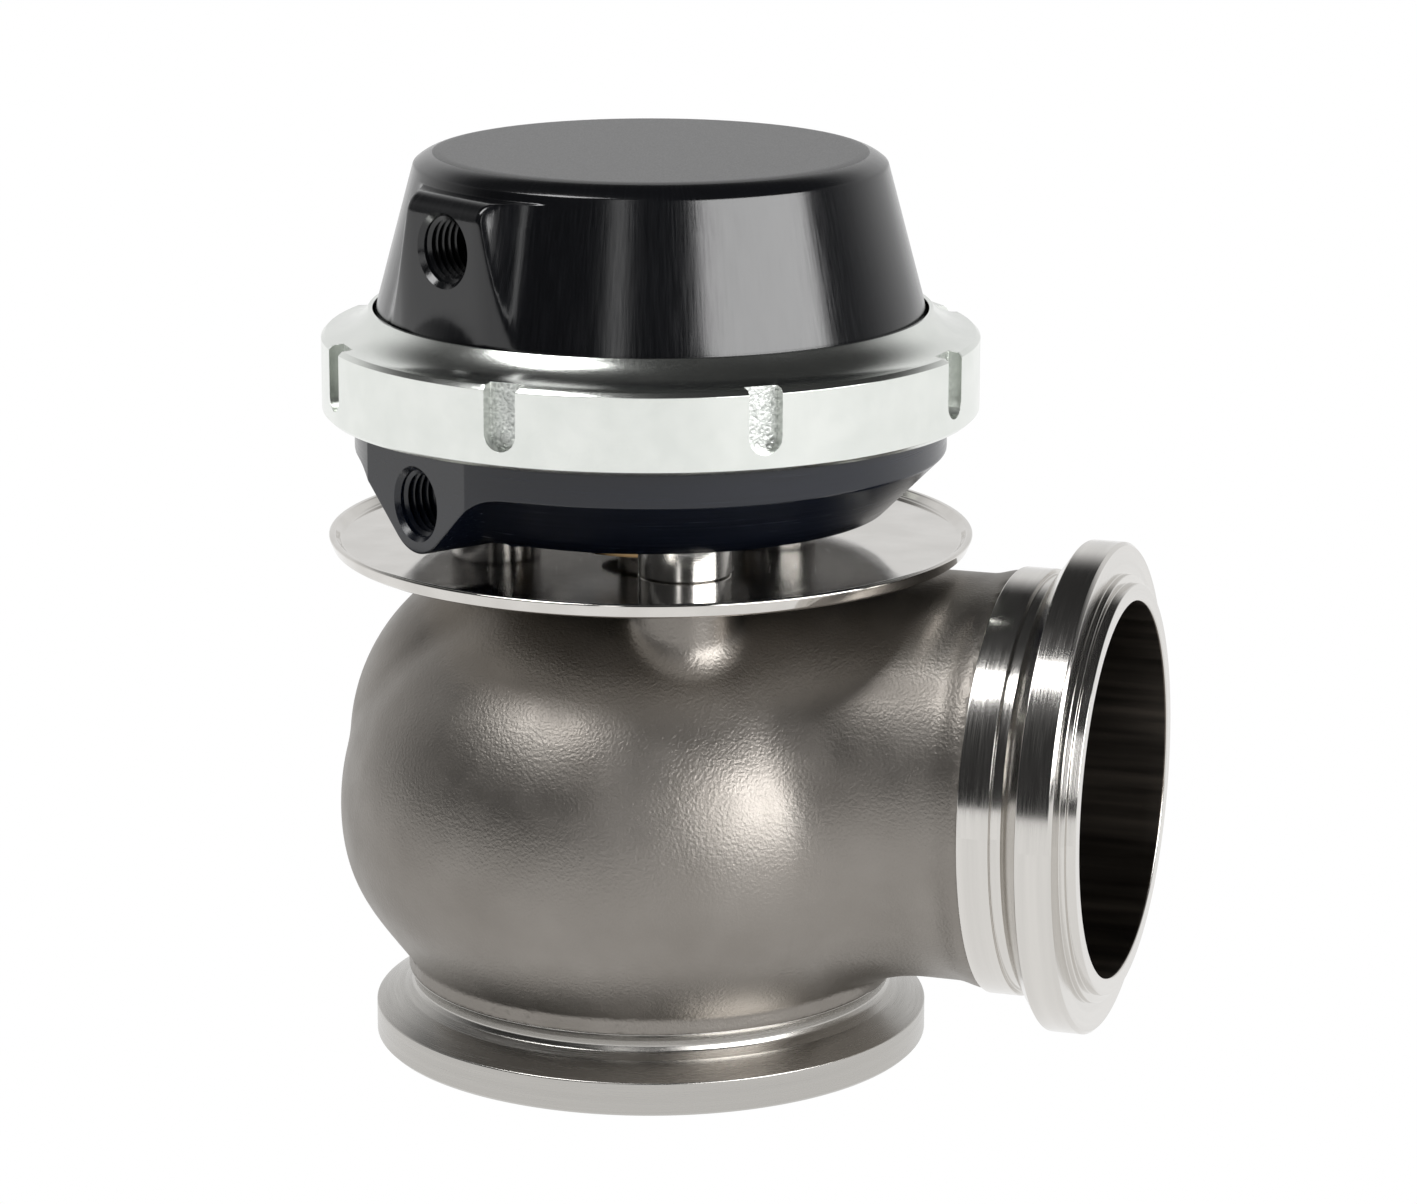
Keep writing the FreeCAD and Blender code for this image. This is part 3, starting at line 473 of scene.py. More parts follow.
def round_corner(profile, before, corner, after, radius):
    """Rounds one corner of a profile with a vertex bevel."""
    to_before, to_after = before - corner, after - corner
    half = to_before.angle(to_after) / 2
    run = min(radius / math.tan(half), 0.4999 * to_before.length, 0.4999 * to_after.length)
    bpy.ops.mesh.select_all(action="DESELECT")
    bpy.ops.object.mode_set(mode="OBJECT")
    for vertex in profile.data.vertices:
        vertex.select = (vertex.co - corner).length < MERGE
    bpy.ops.object.mode_set(mode="EDIT")
    bpy.ops.mesh.bevel(offset=run, segments=CORNER_SEGMENTS, affect="VERTICES")


def turn_profile(corners, along_outlet=False, steps=320):
    """Spins a closed profile once round the valve's or the outlet's axis."""
    turned = draw_profile(corners, along_outlet)
    axis, centre = ((1, 0, 0), (0, 0, OUTLET_Z * MM)) if along_outlet else ((0, 0, 1), (0, 0, 0))
    bpy.ops.mesh.select_all(action="SELECT")
    bpy.ops.mesh.spin(steps=steps, angle=2 * math.pi, center=centre, axis=axis)
    close_up(turned)
    return turned


def close_up(obj):
    """Merges doubled points, closes open ends and turns the faces outwards."""
    use_only(obj)
    bpy.ops.object.mode_set(mode="EDIT")
    bpy.ops.mesh.select_all(action="SELECT")
    bpy.ops.mesh.remove_doubles(threshold=MERGE)
    bpy.ops.mesh.delete_loose()
    bpy.ops.mesh.select_all(action="SELECT")
    bpy.ops.mesh.fill_holes(sides=0)
    bpy.ops.mesh.normals_make_consistent(inside=False)
    bpy.ops.object.mode_set(mode="OBJECT")


def set_place(obj, azimuth, middle=(0, 0, 0), tilt=0.0):
    """Tilts and turns a piece, moves it to its place and keeps that in its mesh."""
    use_only(obj)
    obj.rotation_euler = (math.radians(tilt), 0, math.radians(azimuth))
    obj.location = Vector(middle) * MM
    bpy.ops.object.transform_apply(location=True, rotation=True, scale=True)


def copied(obj):
    use_only(obj)
    bpy.ops.object.duplicate()
    return bpy.context.object


def joined(objects):
    deselect_all()
    for obj in objects:
        obj.select_set(True)
    bpy.context.view_layer.objects.active = objects[0]
    bpy.ops.object.join()
    return bpy.context.object


def modified(obj, kind, **settings):
    """Adds a modifier to a piece and applies it."""
    use_only(obj)
    bpy.ops.object.modifier_add(type=kind)
    modifier = obj.modifiers[-1]
    for key, value in settings.items():
        setattr(modifier, key, value)
    bpy.ops.object.modifier_apply(modifier=modifier.name)


def wind_up(profile, pitch, turns, steps):
    """Winds a closed profile up the valve's axis, as a thread or a spring."""
    modified(profile, "SCREW", axis="Z", angle=2 * math.pi, screw_offset=pitch * MM, iterations=turns,
             steps=steps, render_steps=steps, use_merge_vertices=True, merge_threshold=MERGE)
    close_up(profile)


def cut_away(obj, tool):
    modified(obj, "BOOLEAN", operation="DIFFERENCE", solver="EXACT", object=tool)
    bpy.data.objects.remove(tool)


def mesh_piece(points, faces):
    """New object from points in millimetres, for the forms that are worked out as a surface."""
    mesh = bpy.data.meshes.new("surface")
    mesh.from_pydata((np.asarray(points, float) * MM).tolist(), [], faces)
    obj = bpy.data.objects.new("surface", mesh)
    scene.collection.objects.link(obj)
    close_up(obj)
    return obj


def finish_piece(obj, name, body, nodes, finishes, sharp=38.0, finish_of_face=None):
    """Names a piece, shades it, gives it its finishes, ties it to its body and hides the CAD nodes that it
    stands in for.
    """
    obj.name = name
    obj.data.name = name
    obj.data.materials.clear()
    for finish in finishes:
        obj.data.materials.append(MATERIALS[finish])
    if finish_of_face:
        for face in obj.data.polygons:
            face.material_index = finish_of_face(face.center / MM, face.normal)
    use_only(obj)
    bpy.ops.object.shade_smooth_by_angle(angle=math.radians(sharp))
    modified(obj, "WEIGHTED_NORMAL", keep_sharp=True)
    if body:
        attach(obj, body)
    for node in nodes:
        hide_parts(node)


def grid_faces(rows, columns):
    """Faces of a grid of points whose last column meets its first."""
    i, j = np.meshgrid(np.arange(rows - 1), np.arange(columns), indexing="ij")
    here, beside = i * columns + j, i * columns + (j + 1) % columns
    return np.stack((here, beside, beside + columns, here + columns), -1).reshape(-1, 4).tolist()


def column(segments, softness, offsets=(0.07, 0.15, 0.26, 0.42, 0.75)):
    """Rows of one profile: runs joined and their corners softened, with a fixed number of points."""
    runs = [np.asarray(run, float) for run, _ in segments]
    points = np.concatenate([run[(0 if k == 0 else 1):] for k, run in enumerate(runs)])
    ends = np.cumsum([0.0] + [float(np.linalg.norm(np.diff(run, axis=0), axis=1).sum()) for run in runs])
    travel = np.concatenate(([0.0], np.cumsum(np.linalg.norm(np.diff(points, axis=0), axis=1))))
    total = travel[-1]
    step = 0.04
    even = np.arange(0, total, step)
    dense = np.stack([np.interp(even, travel, points[:, k]) for k in (0, 1)], -1)
    reach = int(4 * softness / step)
    kernel = np.exp(-0.5 * (np.arange(-reach, reach + 1) * step / softness) ** 2)
    kernel /= kernel.sum()
    before = 2 * dense[0] - dense[1:reach + 1][::-1]
    after = 2 * dense[-1] - dense[-reach - 1:-1][::-1]
    padded = np.concatenate((before, dense, after))
    soft = np.stack([np.convolve(padded[:, k], kernel, "valid") for k in (0, 1)], -1)
    stops = [0.0, total]
    for k, (_, rows) in enumerate(segments):
        stops += list(ends[k] + (ends[k + 1] - ends[k]) * (np.arange(rows) + 1) / (rows + 1))
        if k:
            stops.append(ends[k])
            for offset in offsets:
                stops += [ends[k] - offset, ends[k] + offset]
    stops = np.sort(np.clip(stops, 0, total))
    result = np.stack([np.interp(stops, even, soft[:, k]) for k in (0, 1)], -1)
    result[0], result[-1] = points[0], points[-1]
    return result


def around(radii_heights, azimuths):
    """Points of profiles that stand at their own azimuths, row by row."""
    turn = np.radians(azimuths)
    r, z = radii_heights[..., 0].T, radii_heights[..., 1].T
    return np.stack((r * np.sin(turn), -r * np.cos(turn), z), -1).reshape(-1, 3)


def round_union(a, b, k):
    """Union with a fillet of radius k between surfaces that meet at about a right angle."""
    return np.maximum(k, np.minimum(a, b)) - np.hypot(np.maximum(k - a, 0), np.maximum(k - b, 0))


def rolled_union(a, b, k, slant):
    """Union with a fillet of radius k between surfaces whose normals have the dot product slant."""
    u, v = k - a, k - b
    corner = np.sqrt(np.maximum(u ** 2 + v ** 2 - 2 * slant * u * v, 0) / np.maximum(1 - slant ** 2, 1e-6))
    reach = np.where(u <= slant * v, v, np.where(v <= slant * u, u, corner))
    return np.where((u <= 0) & (v <= 0), np.minimum(a, b), k - reach)


def round_common(a, b, k):
    """Common part of two forms, with its edge rounded to radius k."""
    return np.minimum(-k, np.maximum(a, b)) + np.hypot(np.maximum(k + a, 0), np.maximum(k + b, 0))


# Cast valve body

def screw_place(azimuth):
    """Place of a screw, its boss and its spacer on the screws' circle."""
    angle = math.radians(azimuth)
    return SCREW_CIRCLE_R * math.sin(angle), -SCREW_CIRCLE_R * math.cos(angle), 0


def casting_field(x, y, z):
    """Signed distance of the casting: bulb, outlet passage, bosses, and the hollow inside them."""
    r = np.hypot(x, y)
    ring = np.hypot(np.maximum(r - BULB_RING_R, 0), z - BULB_Z)
    slimming = NECK_SLIMMING * np.exp(-((z - NECK_Z) / NECK_SPREAD) ** 2)
    slimming = slimming * np.clip((z - NECK_FOOT_Z) / NECK_FADE, 0, 1)
    flare = 0.5 - 0.5 * np.cos(np.pi * np.clip((x - FLARE_X) / FLARE_LENGTH, 0, 1))
    pipe_r = PIPE_R + FLARE_RISE * flare
    along = np.clip(x - PIPE_BACK_X, None, 0)
    reach = np.sqrt(along ** 2 + y ** 2 + (z - OUTLET_Z) ** 2)
    outwards = np.maximum(r - BULB_RING_R, 0) / np.maximum(r, 1e-6)
    slant = outwards * (x * along + y ** 2) + (z - BULB_Z) * (z - OUTLET_Z)
    slant = np.clip(slant / np.maximum(ring * reach, 1e-6), -0.999, 0.9999)
    solid = rolled_union(ring - BULB_ARC_R + slimming, reach - pipe_r, PIPE_FILLET_R, slant)
    top_boss = np.maximum(r - GUIDE_BOSS_R, z - GUIDE_BOSS_TOP_Z)
    solid = round_union(solid, top_boss, GUIDE_BOSS_FILLET_R)
    for azimuth in SCREW_AZIMUTHS:
        boss_x, boss_y, _ = screw_place(azimuth)
        boss = np.hypot(x - boss_x, y - boss_y) - SCREW_BOSS_R
        solid = round_union(solid, np.maximum(boss, SCREW_BOSS_FOOT_Z - z), SCREW_BOSS_FILLET_R)
    solid = np.maximum(solid, z - BODY_TOP_Z)
    bore = np.maximum(np.hypot(y, z - OUTLET_Z) - OUTLET_BORE_R - BORE_GAP, BORE_START_X - x)
    hollow = np.minimum(ring - CAVITY_ARC_R, bore)
    guide_boss = np.maximum(r - GUIDE_BOSS_R, GUIDE_BOSS_FOOT_Z - z)
    hollow = np.maximum(hollow, -guide_boss)
    hollow = np.minimum(hollow, np.maximum(r - THROAT_R, z - THROAT_TOP_Z))
    hollow = np.minimum(hollow, r - GUIDE_HOLE_R)
    solid = np.maximum(solid, -hollow)
    return np.maximum(np.maximum(solid, x - BAND_X - CAST_LAP), BODY_FOOT_Z - z)


def surface_net(field, low, high, step):
    """Closed mesh of quads where the field is zero: one point in each cell that it crosses."""
    axes = [np.arange(a, b + step, step) for a, b in zip(low, high)]
    grid = field(*np.meshgrid(*axes, indexing="ij")).astype(np.float32)
    inside = grid < 0
    corner_steps = [(a, b, c) for a in (0, 1) for b in (0, 1) for c in (0, 1)]
    nx, ny, nz = (n - 1 for n in grid.shape)
    count = sum(inside[a:a + nx, b:b + ny, c:c + nz].astype(np.int8) for a, b, c in corner_steps)
    cells = np.argwhere((count > 0) & (count < 8))
    index = np.full((nx, ny, nz), -1, np.int64)
    index[tuple(cells.T)] = np.arange(len(cells))
    total, hits = np.zeros((len(cells), 3)), np.zeros(len(cells))
    for start in corner_steps:
        for axis in range(3):
            if start[axis]:
                continue
            end = list(start)
            end[axis] = 1
            f0 = grid[tuple((cells + start).T)]
            f1 = grid[tuple((cells + end).T)]
            crossed = (f0 < 0) != (f1 < 0)
            share = np.where(crossed, f0 / np.where(crossed, f0 - f1, 1), 0)
            place = np.tile(np.array(start, float), (len(cells), 1))
            place[:, axis] = share
            total += place * crossed[:, None]
            hits += crossed
    points = np.array(low) + step * (cells + total / hits[:, None])
    origin, limit = points.copy(), 0.45 * step
    for _ in range(4):
        value = field(*points.T)
        slope = field_slope(field, points)
        points = points - slope * (value / np.maximum((slope ** 2).sum(1), 0.2))[:, None]
        points = origin + np.clip(points - origin, -limit, limit)
    quads = []
    around_edge = (
        ((0, -1, -1), (0, 0, -1), (0, 0, 0), (0, -1, 0)),
        ((-1, 0, -1), (-1, 0, 0), (0, 0, 0), (0, 0, -1)),
        ((-1, -1, 0), (0, -1, 0), (0, 0, 0), (-1, 0, 0)),
    )
    for axis, ring in enumerate(around_edge):
        low_side = [slice(1, -1)] * 3
        high_side = [slice(1, -1)] * 3
        low_side[axis] = slice(0, -1)
        high_side[axis] = slice(1, None)
        first, second = inside[tuple(low_side)], inside[tuple(high_side)]
        for outward in (True, False):
            found = np.argwhere((first & ~second) if outward else (~first & second))
            found += np.array([0 if k == axis else 1 for k in range(3)])
            quad = np.stack([index[tuple((found + np.array(offset)).T)] for offset in ring], -1)
            quads.append(quad if outward else quad[:, ::-1])
    return points, np.concatenate(quads).tolist()


def field_slope(field, points):
    reach = 0.02
    slope = np.empty_like(points)
    for axis in range(3):
        shift = np.zeros(3)
        shift[axis] = reach
        slope[:, axis] = (field(*(points + shift).T) - field(*(points - shift).T)) / (2 * reach)
    return slope


def make_casting():
    low, high = (-39.5, -39.5, 7.0), (47.0, 39.5, 62.5)
    points, quads = surface_net(casting_field, low, high, CAST_STEP)
    margin = 0.7

    # Faces in the hollow, the bore and at the foot take the second finish, which is painted shade.
    def is_inside(centre, normal):
        ring = math.hypot(max(math.hypot(centre.x, centre.y) - BULB_RING_R, 0), centre.z - BULB_Z)
        in_bore = centre.x > 15 and math.hypot(centre.y, centre.z - OUTLET_Z) < OUTLET_BORE_R + margin
        return 1 if ring < CAVITY_ARC_R + margin or in_bore or centre.z < BODY_FOOT_Z + 0.2 else 0

    finish_piece(mesh_piece(points, quads), "cast_body_skin", "valve_body", ["valve_body"],
                 ["cast", "inside"], 50, is_inside)


def make_inlet_flange():
    flange = turn_profile([
        (THROAT_R, 0, 0.2), (INLET_RIM_R - FLANGE_CHAMFER, 0, 0.15), (INLET_RIM_R, FLANGE_CHAMFER, 0.15),
        (INLET_RIM_R, INLET_RIM_Z, 0.22), (INLET_CONE_R, INLET_CONE_Z, 0.5),
        (29.55, 6.55, 0.5), (29.3, 7.15, 0.4), (29.45, 7.9, 0.4), (29.98, 8.79, 0.1),
        (28.9, INLET_TOP_Z, 0), (THROAT_R, INLET_TOP_Z, 0),
    ])
    finish_piece(flange, "inlet_flange_turned", "valve_body", ["valve_body"], ["inlet_turned"])


def make_outlet_flange():
    liner_r = OUTLET_BORE_R + 0.05
    flange = turn_profile([
        (OUTLET_BORE_R, BORE_START_X, 0), (OUTLET_BORE_R, SPIGOT_X, 0.3), (SPIGOT_R, SPIGOT_X, 0.15),
        (SPIGOT_R, SPIGOT_FOOT_X, 0.1), (BAND_R, SPIGOT_FOOT_X, 0.12), (BAND_R, OUTLET_FACE_X, 0.1),
        (OUTLET_RIM_R - FLANGE_CHAMFER, OUTLET_FACE_X, 0.1),
        (OUTLET_RIM_R, OUTLET_FACE_X - FLANGE_CHAMFER, 0.1), (OUTLET_RIM_R, OUTLET_RIM_X, 0.22),
        (BAND_R, OUTLET_CONE_X, 0.12), (GROOVE_R, OUTLET_CONE_X, 0.1),
        (GROOVE_R, GROOVE_X, 0.1), (BAND_R, GROOVE_X, 0.15), (BAND_R, BAND_X, 0.18), (SPIGOT_R, BAND_X, 0.1),
        (liner_r, 44.0, 0), (liner_r, BORE_START_X, 0),
    ], along_outlet=True)

    # Faces in the bore take the second finish, which is painted shade.
    def in_bore(centre, normal):
        return 1 if math.hypot(centre.y, centre.z - OUTLET_Z) < OUTLET_BORE_R + BORE_GAP else 0

    finish_piece(flange, "outlet_flange_turned", "valve_body", ["valve_body"],
                 ["outlet_turned", "bore"], 38, in_bore)


def make_shield():
    dish = turn_profile([
        (SHIELD_HOLE_R, BODY_TOP_Z, 0.1), (SHIELD_BEND_R, BODY_TOP_Z, 0.7),
        (SHIELD_RIM_R, SHIELD_RIM_Z, 0.4), (SHIELD_LIP_R, SHIELD_RIM_Z, 0.4),
        (SHIELD_BEND_R - SHIELD_THICK, SHIELD_TOP_Z, 0.6), (SHIELD_HOLE_R, SHIELD_TOP_Z, 0.1),
    ])
    finish_piece(dish, "heat_shield_dish", "valve_body", ["heat_shield"], ["mirror"])


def make_spacers():
    first = turn_profile([
        (SCREW_HOLE_R, SHIELD_TOP_Z, 0.1), (SPACER_R, SHIELD_TOP_Z, 0.25),
        (SPACER_R, BASE_FOOT_Z, 0.25), (SCREW_HOLE_R, BASE_FOOT_Z, 0.1),
    ], steps=96)
    spacers = []
    for azimuth in SCREW_AZIMUTHS:
        spacer = copied(first)
        set_place(spacer, 0, screw_place(azimuth))
        spacers.append(spacer)
    bpy.data.objects.remove(first)
    finish_piece(joined(spacers), "spacer_set", "valve_body", ["standoff_spacers"],
                 ["spacer"])


# Lower housing, lock ring and cap

def tongue_foot(lateral):
    """Height of the tongue's lower edge beside its middle: a round foot, a slope and a run-out arc."""
    side = np.abs(lateral)
    slope = math.radians(TONGUE_SLOPE)
    middle_z = LOWER_PORT["height"]
    touch_t = TONGUE_FOOT_R * math.sin(slope)
    touch_z = middle_z - TONGUE_FOOT_R * math.cos(slope)
    curved = middle_z - np.sqrt(np.maximum(TONGUE_FOOT_R ** 2 - np.minimum(side, touch_t) ** 2, 0))
    straight = touch_z + (side - touch_t) * math.tan(slope)
    top_t = touch_t + (TONGUE_TOP_Z - touch_z) / math.tan(slope) + RUN_OUT_R * math.tan(slope / 2)
    beyond = top_t - np.minimum(side, top_t)
    arc = TONGUE_TOP_Z - RUN_OUT_R + np.sqrt(np.maximum(RUN_OUT_R ** 2 - beyond ** 2, 0))
    rising = np.where(side < top_t - RUN_OUT_R * math.sin(slope), straight, arc)
    return np.where(side < touch_t, curved, np.where(side < top_t, rising, NO_TONGUE))


def soft_min(a, b, k):
    """Lower of two heights, blended where they differ by less than k."""
    share = np.clip(0.5 + 0.5 * (b - a) / k, 0, 1)
    return b + (a - b) * share - k * share * (1 - share)


def base_column(azimuth):
    """Profile of the lower housing at an azimuth, from the middle of its floor round to the middle below."""
    turn = math.radians((azimuth - LOWER_PORT["azimuth"] + 180) % 360 - 180)
    facing = math.cos(turn)
    wall = BASE_R
    if facing > 0:
        wall = min(BASE_R, LOWER_PORT["face"] / facing)
    radii = np.linspace(wall, BASE_CENTRE_R, 240)
    cone = BASE_FOOT_Z + np.maximum(radii - BASE_FOOT_R, 0)
    foot = np.full_like(radii, NO_TONGUE)
    if abs(turn) < math.pi / 2:
        foot = tongue_foot(radii * math.sin(turn))
    under = soft_min(cone, foot, 0.9)
    meet = int(np.argmax(cone < foot)) if (cone < foot).any() else len(radii) - 2
    meet = min(max(meet, 1), len(radii) - 2)
    run = np.stack((radii, under), -1)
    step = [run[-1], (BASE_CENTRE_R - 1e-3, BASE_FOOT_Z)]
    if under[-1] < BASE_FOOT_Z - 0.1:
        step = [(BASE_CENTRE_R, under[-1]), (BASE_CENTRE_R, BASE_FOOT_Z)]
    return column([
        ([(0, BASE_FLOOR_Z), (BASE_FLOOR_R, BASE_FLOOR_Z)], 2),
        ([(BASE_FLOOR_R, BASE_FLOOR_Z), (CHAMBER_R, BASE_BORE_FOOT_Z)], 1),
        ([(CHAMBER_R, BASE_BORE_FOOT_Z), (CHAMBER_R, CLAMP_Z)], 1),
        ([(CHAMBER_R, CLAMP_Z), (BASE_R, CLAMP_Z)], 1),
        ([(BASE_R, CLAMP_Z), (BASE_R, RING_FOOT_Z + 0.05)], 1),
        ([(BASE_R, RING_FOOT_Z + 0.05), (wall - 1e-3, RING_FOOT_Z)], 0),
        ([(wall - 1e-3, RING_FOOT_Z), (wall, under[0])], 3),
        (run[:meet + 1], 3),
        (run[meet:], 5),
        (step, 0),
        ([step[-1], (0, BASE_FOOT_Z)], 2),
    ], 0.13)


def make_base():
    close = np.arange(-30, 30.01, 0.4)
    edge = math.degrees(math.acos(LOWER_PORT["face"] / BASE_R))
    extra = [s * (edge + d) for s in (-1, 1) for d in (-0.12, 0.12)]
    local = np.unique(np.round(np.concatenate((close, extra, np.arange(31.5, 329.0, 1.5))), 4))
    azimuths = LOWER_PORT["azimuth"] + local
    profiles = np.array([base_column(azimuth) for azimuth in azimuths])
    housing = mesh_piece(around(profiles, azimuths), grid_faces(profiles.shape[1], len(azimuths)))
    cut_port(housing, LOWER_PORT)
    finish_piece(housing, "lower_housing_turned", "valve_body", ["base_housing"],
                 ["base_black"])
    finish_piece(port_lining(LOWER_PORT), "lower_port_thread", "valve_body", ["base_housing"],
                 ["base_black"], 25)


def boss_mix(values, z):
    """Value of the cap's boss at a height, from its values at the foot and at the top."""
    foot, top = values
    return foot + (top - foot) * np.clip((z - CAP_FOOT_Z) / BOSS_RISE, 0, 1)


def cap_radius(turn, z, face):
    """Radius of the cap's outside at an angle from its port boss, by halving the distance to it."""
    cone_r = CAP_FOOT_R - (z - CAP_FOOT_Z) * CAP_SLANT
    half = boss_mix(BOSS_HALF, z)
    blend = boss_mix(BOSS_BLEND, z)
    low, high = np.full(np.shape(turn), 10.0), np.full(np.shape(turn), 40.0)
    for _ in range(40):
        r = (low + high) / 2
        side = np.maximum(np.abs(r * np.sin(turn)) - half, -r * np.cos(turn))
        front = r * np.cos(turn) - face
        boss = rolled_union(side, r - cone_r, blend, np.abs(np.sin(turn)))
        value = np.minimum(round_common(boss, front, 0.5), r - cone_r)
        value = round_common(value, r - CAP_FOOT_R, 0.3)
        outside = value > 0
        high = np.where(outside, r, high)
        low = np.where(outside, low, r)
    return (low + high) / 2


def cap_face(z):
    """Distance of the boss's front from the valve axis, with its rounded upper edge."""
    over = np.clip(z - BOSS_TOP_Z + BOSS_EDGE_R, 0, BOSS_EDGE_R)
    return UPPER_PORT["face"] - BOSS_EDGE_R + np.sqrt(np.maximum(BOSS_EDGE_R ** 2 - over ** 2, 0))


def cap_top():
    """Rounded edge of the cap's top, from the cone to the flat."""
    run = CAP_EDGE_R - CAP_FLAT_R
    arc_r = run ** 2 / (2 * CAP_EDGE_RISE) + CAP_EDGE_RISE / 2
    radii = np.linspace(CAP_EDGE_R, CAP_FLAT_R, 24)
    return np.stack((radii, CAP_TOP_Z - arc_r + np.sqrt(arc_r ** 2 - (radii - CAP_FLAT_R) ** 2)), -1)


def cap_profile(side):
    """Closed profile of the cap round one run of its side: inside, rim, side and top."""
    top = cap_top()
    inner = CAP_FOOT_R - CAP_WALL
    bevel = 3.0
    upper = inner - (CAP_CEILING_Z - bevel - CAP_FOOT_Z) * CAP_SLANT
    knee = CAP_FOOT_Z + (inner - CHAMBER_R) / CAP_SLANT
    shoulder = (min(CAP_FOOT_R - BOSS_RISE * CAP_SLANT, side[-1][0]), BOSS_TOP_Z)
    return column([
        ([(0, CAP_CEILING_Z), (upper - bevel, CAP_CEILING_Z)], 1),
        ([(upper - bevel, CAP_CEILING_Z), (upper, CAP_CEILING_Z - bevel)], 1),
        ([(upper, CAP_CEILING_Z - bevel), (CHAMBER_R, knee)], 1),
        ([(CHAMBER_R, knee), (CHAMBER_R, CAP_RIM_FOOT_Z)], 1),
        ([(CHAMBER_R, CAP_RIM_FOOT_Z), (CAP_RIM_R, CAP_RIM_FOOT_Z)], 1),
        ([(CAP_RIM_R, CAP_RIM_FOOT_Z), (CAP_RIM_R, CAP_RIM_Z)], 1),
        ([(CAP_RIM_R, CAP_RIM_Z), (CAP_FOOT_R, CAP_RIM_Z)], 1),
        ([(CAP_FOOT_R, CAP_RIM_Z), (CAP_FOOT_R, CAP_FOOT_Z - 0.05)], 1),
        ([(CAP_FOOT_R, CAP_FOOT_Z - 0.05), side[0]], 0),
        (side[:BOSS_ROWS], 9),
        (side[BOSS_ROWS - 1:], 7),
        ([side[-1], shoulder], 2),
        ([shoulder, top[0]], 2),
        (top, 8),
        ([top[-1], (0, CAP_TOP_Z)], 3),
    ], 0.12, (0.06, 0.14, 0.25, 0.42))


def cap_columns(shares):
    """Profiles of the cap and the angle of each point: the columns follow the boss's slanting edges."""
    edge_z = BOSS_TOP_Z - BOSS_EDGE_R
    edge_turns = np.linspace(0, np.pi / 2, BOSS_EDGE_ROWS)[1:]
    edge = edge_z + BOSS_EDGE_R * np.sin(edge_turns)
    heights = np.concatenate((np.linspace(CAP_FOOT_Z, edge_z, BOSS_ROWS), edge))
    corner = np.degrees(np.arctan2(boss_mix(BOSS_HALF, heights), cap_face(heights)))
    shares = shares[:, None]
    beyond = corner[None, :] + (np.abs(shares) - 1) * (180 - corner[None, :]) / 10
    local = np.where(np.abs(shares) <= 1, shares * corner[None, :], np.sign(shares) * beyond)
    radii = cap_radius(np.radians(local), heights[None, :], cap_face(heights)[None, :])
    profiles = np.array([cap_profile(np.stack((outline, heights), -1)) for outline in radii])
    turns = np.array([np.interp(rows, heights, angles) for rows, angles in zip(profiles[..., 1], local)])
    return profiles, turns


def make_cap():
    near = 1 + np.array([
        -0.6, -0.4, -0.25, -0.15, -0.1, -0.06, -0.035, -0.015, 0, 0.002, 0.005, 0.009, 0.014, 0.022, 0.035,
        0.05, 0.075, 0.1, 0.13, 0.17, 0.22, 0.28, 0.35, 0.43, 0.52, 0.62, 0.73, 0.85, 1.0,
    ])
    half = np.concatenate((near, np.linspace(2.12, 11, 106)))
    shares = np.unique(np.round(np.concatenate((-half[:-1], [-0.2, 0, 0.2], half)), 6))
    profiles, turns = cap_columns(shares)
    azimuths = UPPER_PORT["azimuth"] + turns.T
    shell = mesh_piece(around(profiles, azimuths), grid_faces(profiles.shape[1], len(shares)))
    cut_port(shell, UPPER_PORT)
    finish_piece(shell, "cap_shell", "cap", ["cap"], ["cap_black", "cap_top"], 38,
                 lambda centre, normal: 1 if centre.z > CAP_TOP_Z - 0.15 else 0)
    finish_piece(port_lining(UPPER_PORT), "upper_port_thread", "cap", ["cap"],
                 ["cap_black"], 25)


def port_place(port, depth):
    """Place on a port's axis at a depth below its face."""
    angle = math.radians(port["azimuth"])
    reach = port["face"] - depth
    return (reach * math.sin(angle), -reach * math.cos(angle), port["height"])


def turned_at_port(port, corners):
    """Turned form on a port's axis, from radii and heights above the port's face."""
    form = turn_profile(corners, steps=96)
    set_place(form, port["azimuth"], port_place(port, 0), 90)
    return form


def cut_port(obj, port):
    """Cuts the chamfered mouth and the threaded hole of a port into a piece."""
    floor = port["floor"] - port["face"]
    cut_away(obj, turned_at_port(port, [
        (0, PORT_MOUTH, 0), (PORT_R + PORT_CHAMFER + PORT_MOUTH, PORT_MOUTH, 0), (PORT_R, -PORT_CHAMFER, 0),
        (PORT_R, floor, 0), (0, floor, 0),
    ]))


def port_lining(port):
    """Lining of a port: its seat round the small passage, and the thread that winds in from the chamfer."""
    floor = port["floor"] - port["face"]
    seat_z, seat_r, outer_r = floor + 0.02, PORT_R + 0.01, PORT_R + 0.8
    seat = turned_at_port(port, [
        (PORT_PASSAGE_R, seat_z, 0.15), (seat_r, seat_z, 0), (seat_r, floor + 1.0, 0),
        (outer_r, floor + 1.0, 0), (outer_r, floor - 1.0, 0), (PORT_PASSAGE_R, floor - 1.0, 0),
    ])
    turns = int((-floor - PORT_CHAMFER) / THREAD_PITCH) - 1
    root, crest = PORT_R + 0.04, PORT_R - THREAD_DEPTH
    ridge = draw_profile([(root, -0.92 * THREAD_PITCH, 0), (crest, -0.58 * THREAD_PITCH, 0),
                          (crest, -0.42 * THREAD_PITCH, 0), (root, -0.08 * THREAD_PITCH, 0)])
    wind_up(ridge, -THREAD_PITCH, turns, 72)
    set_place(ridge, port["azimuth"], port_place(port, PORT_CHAMFER * 0.8), 90)
    return joined([seat, ridge])


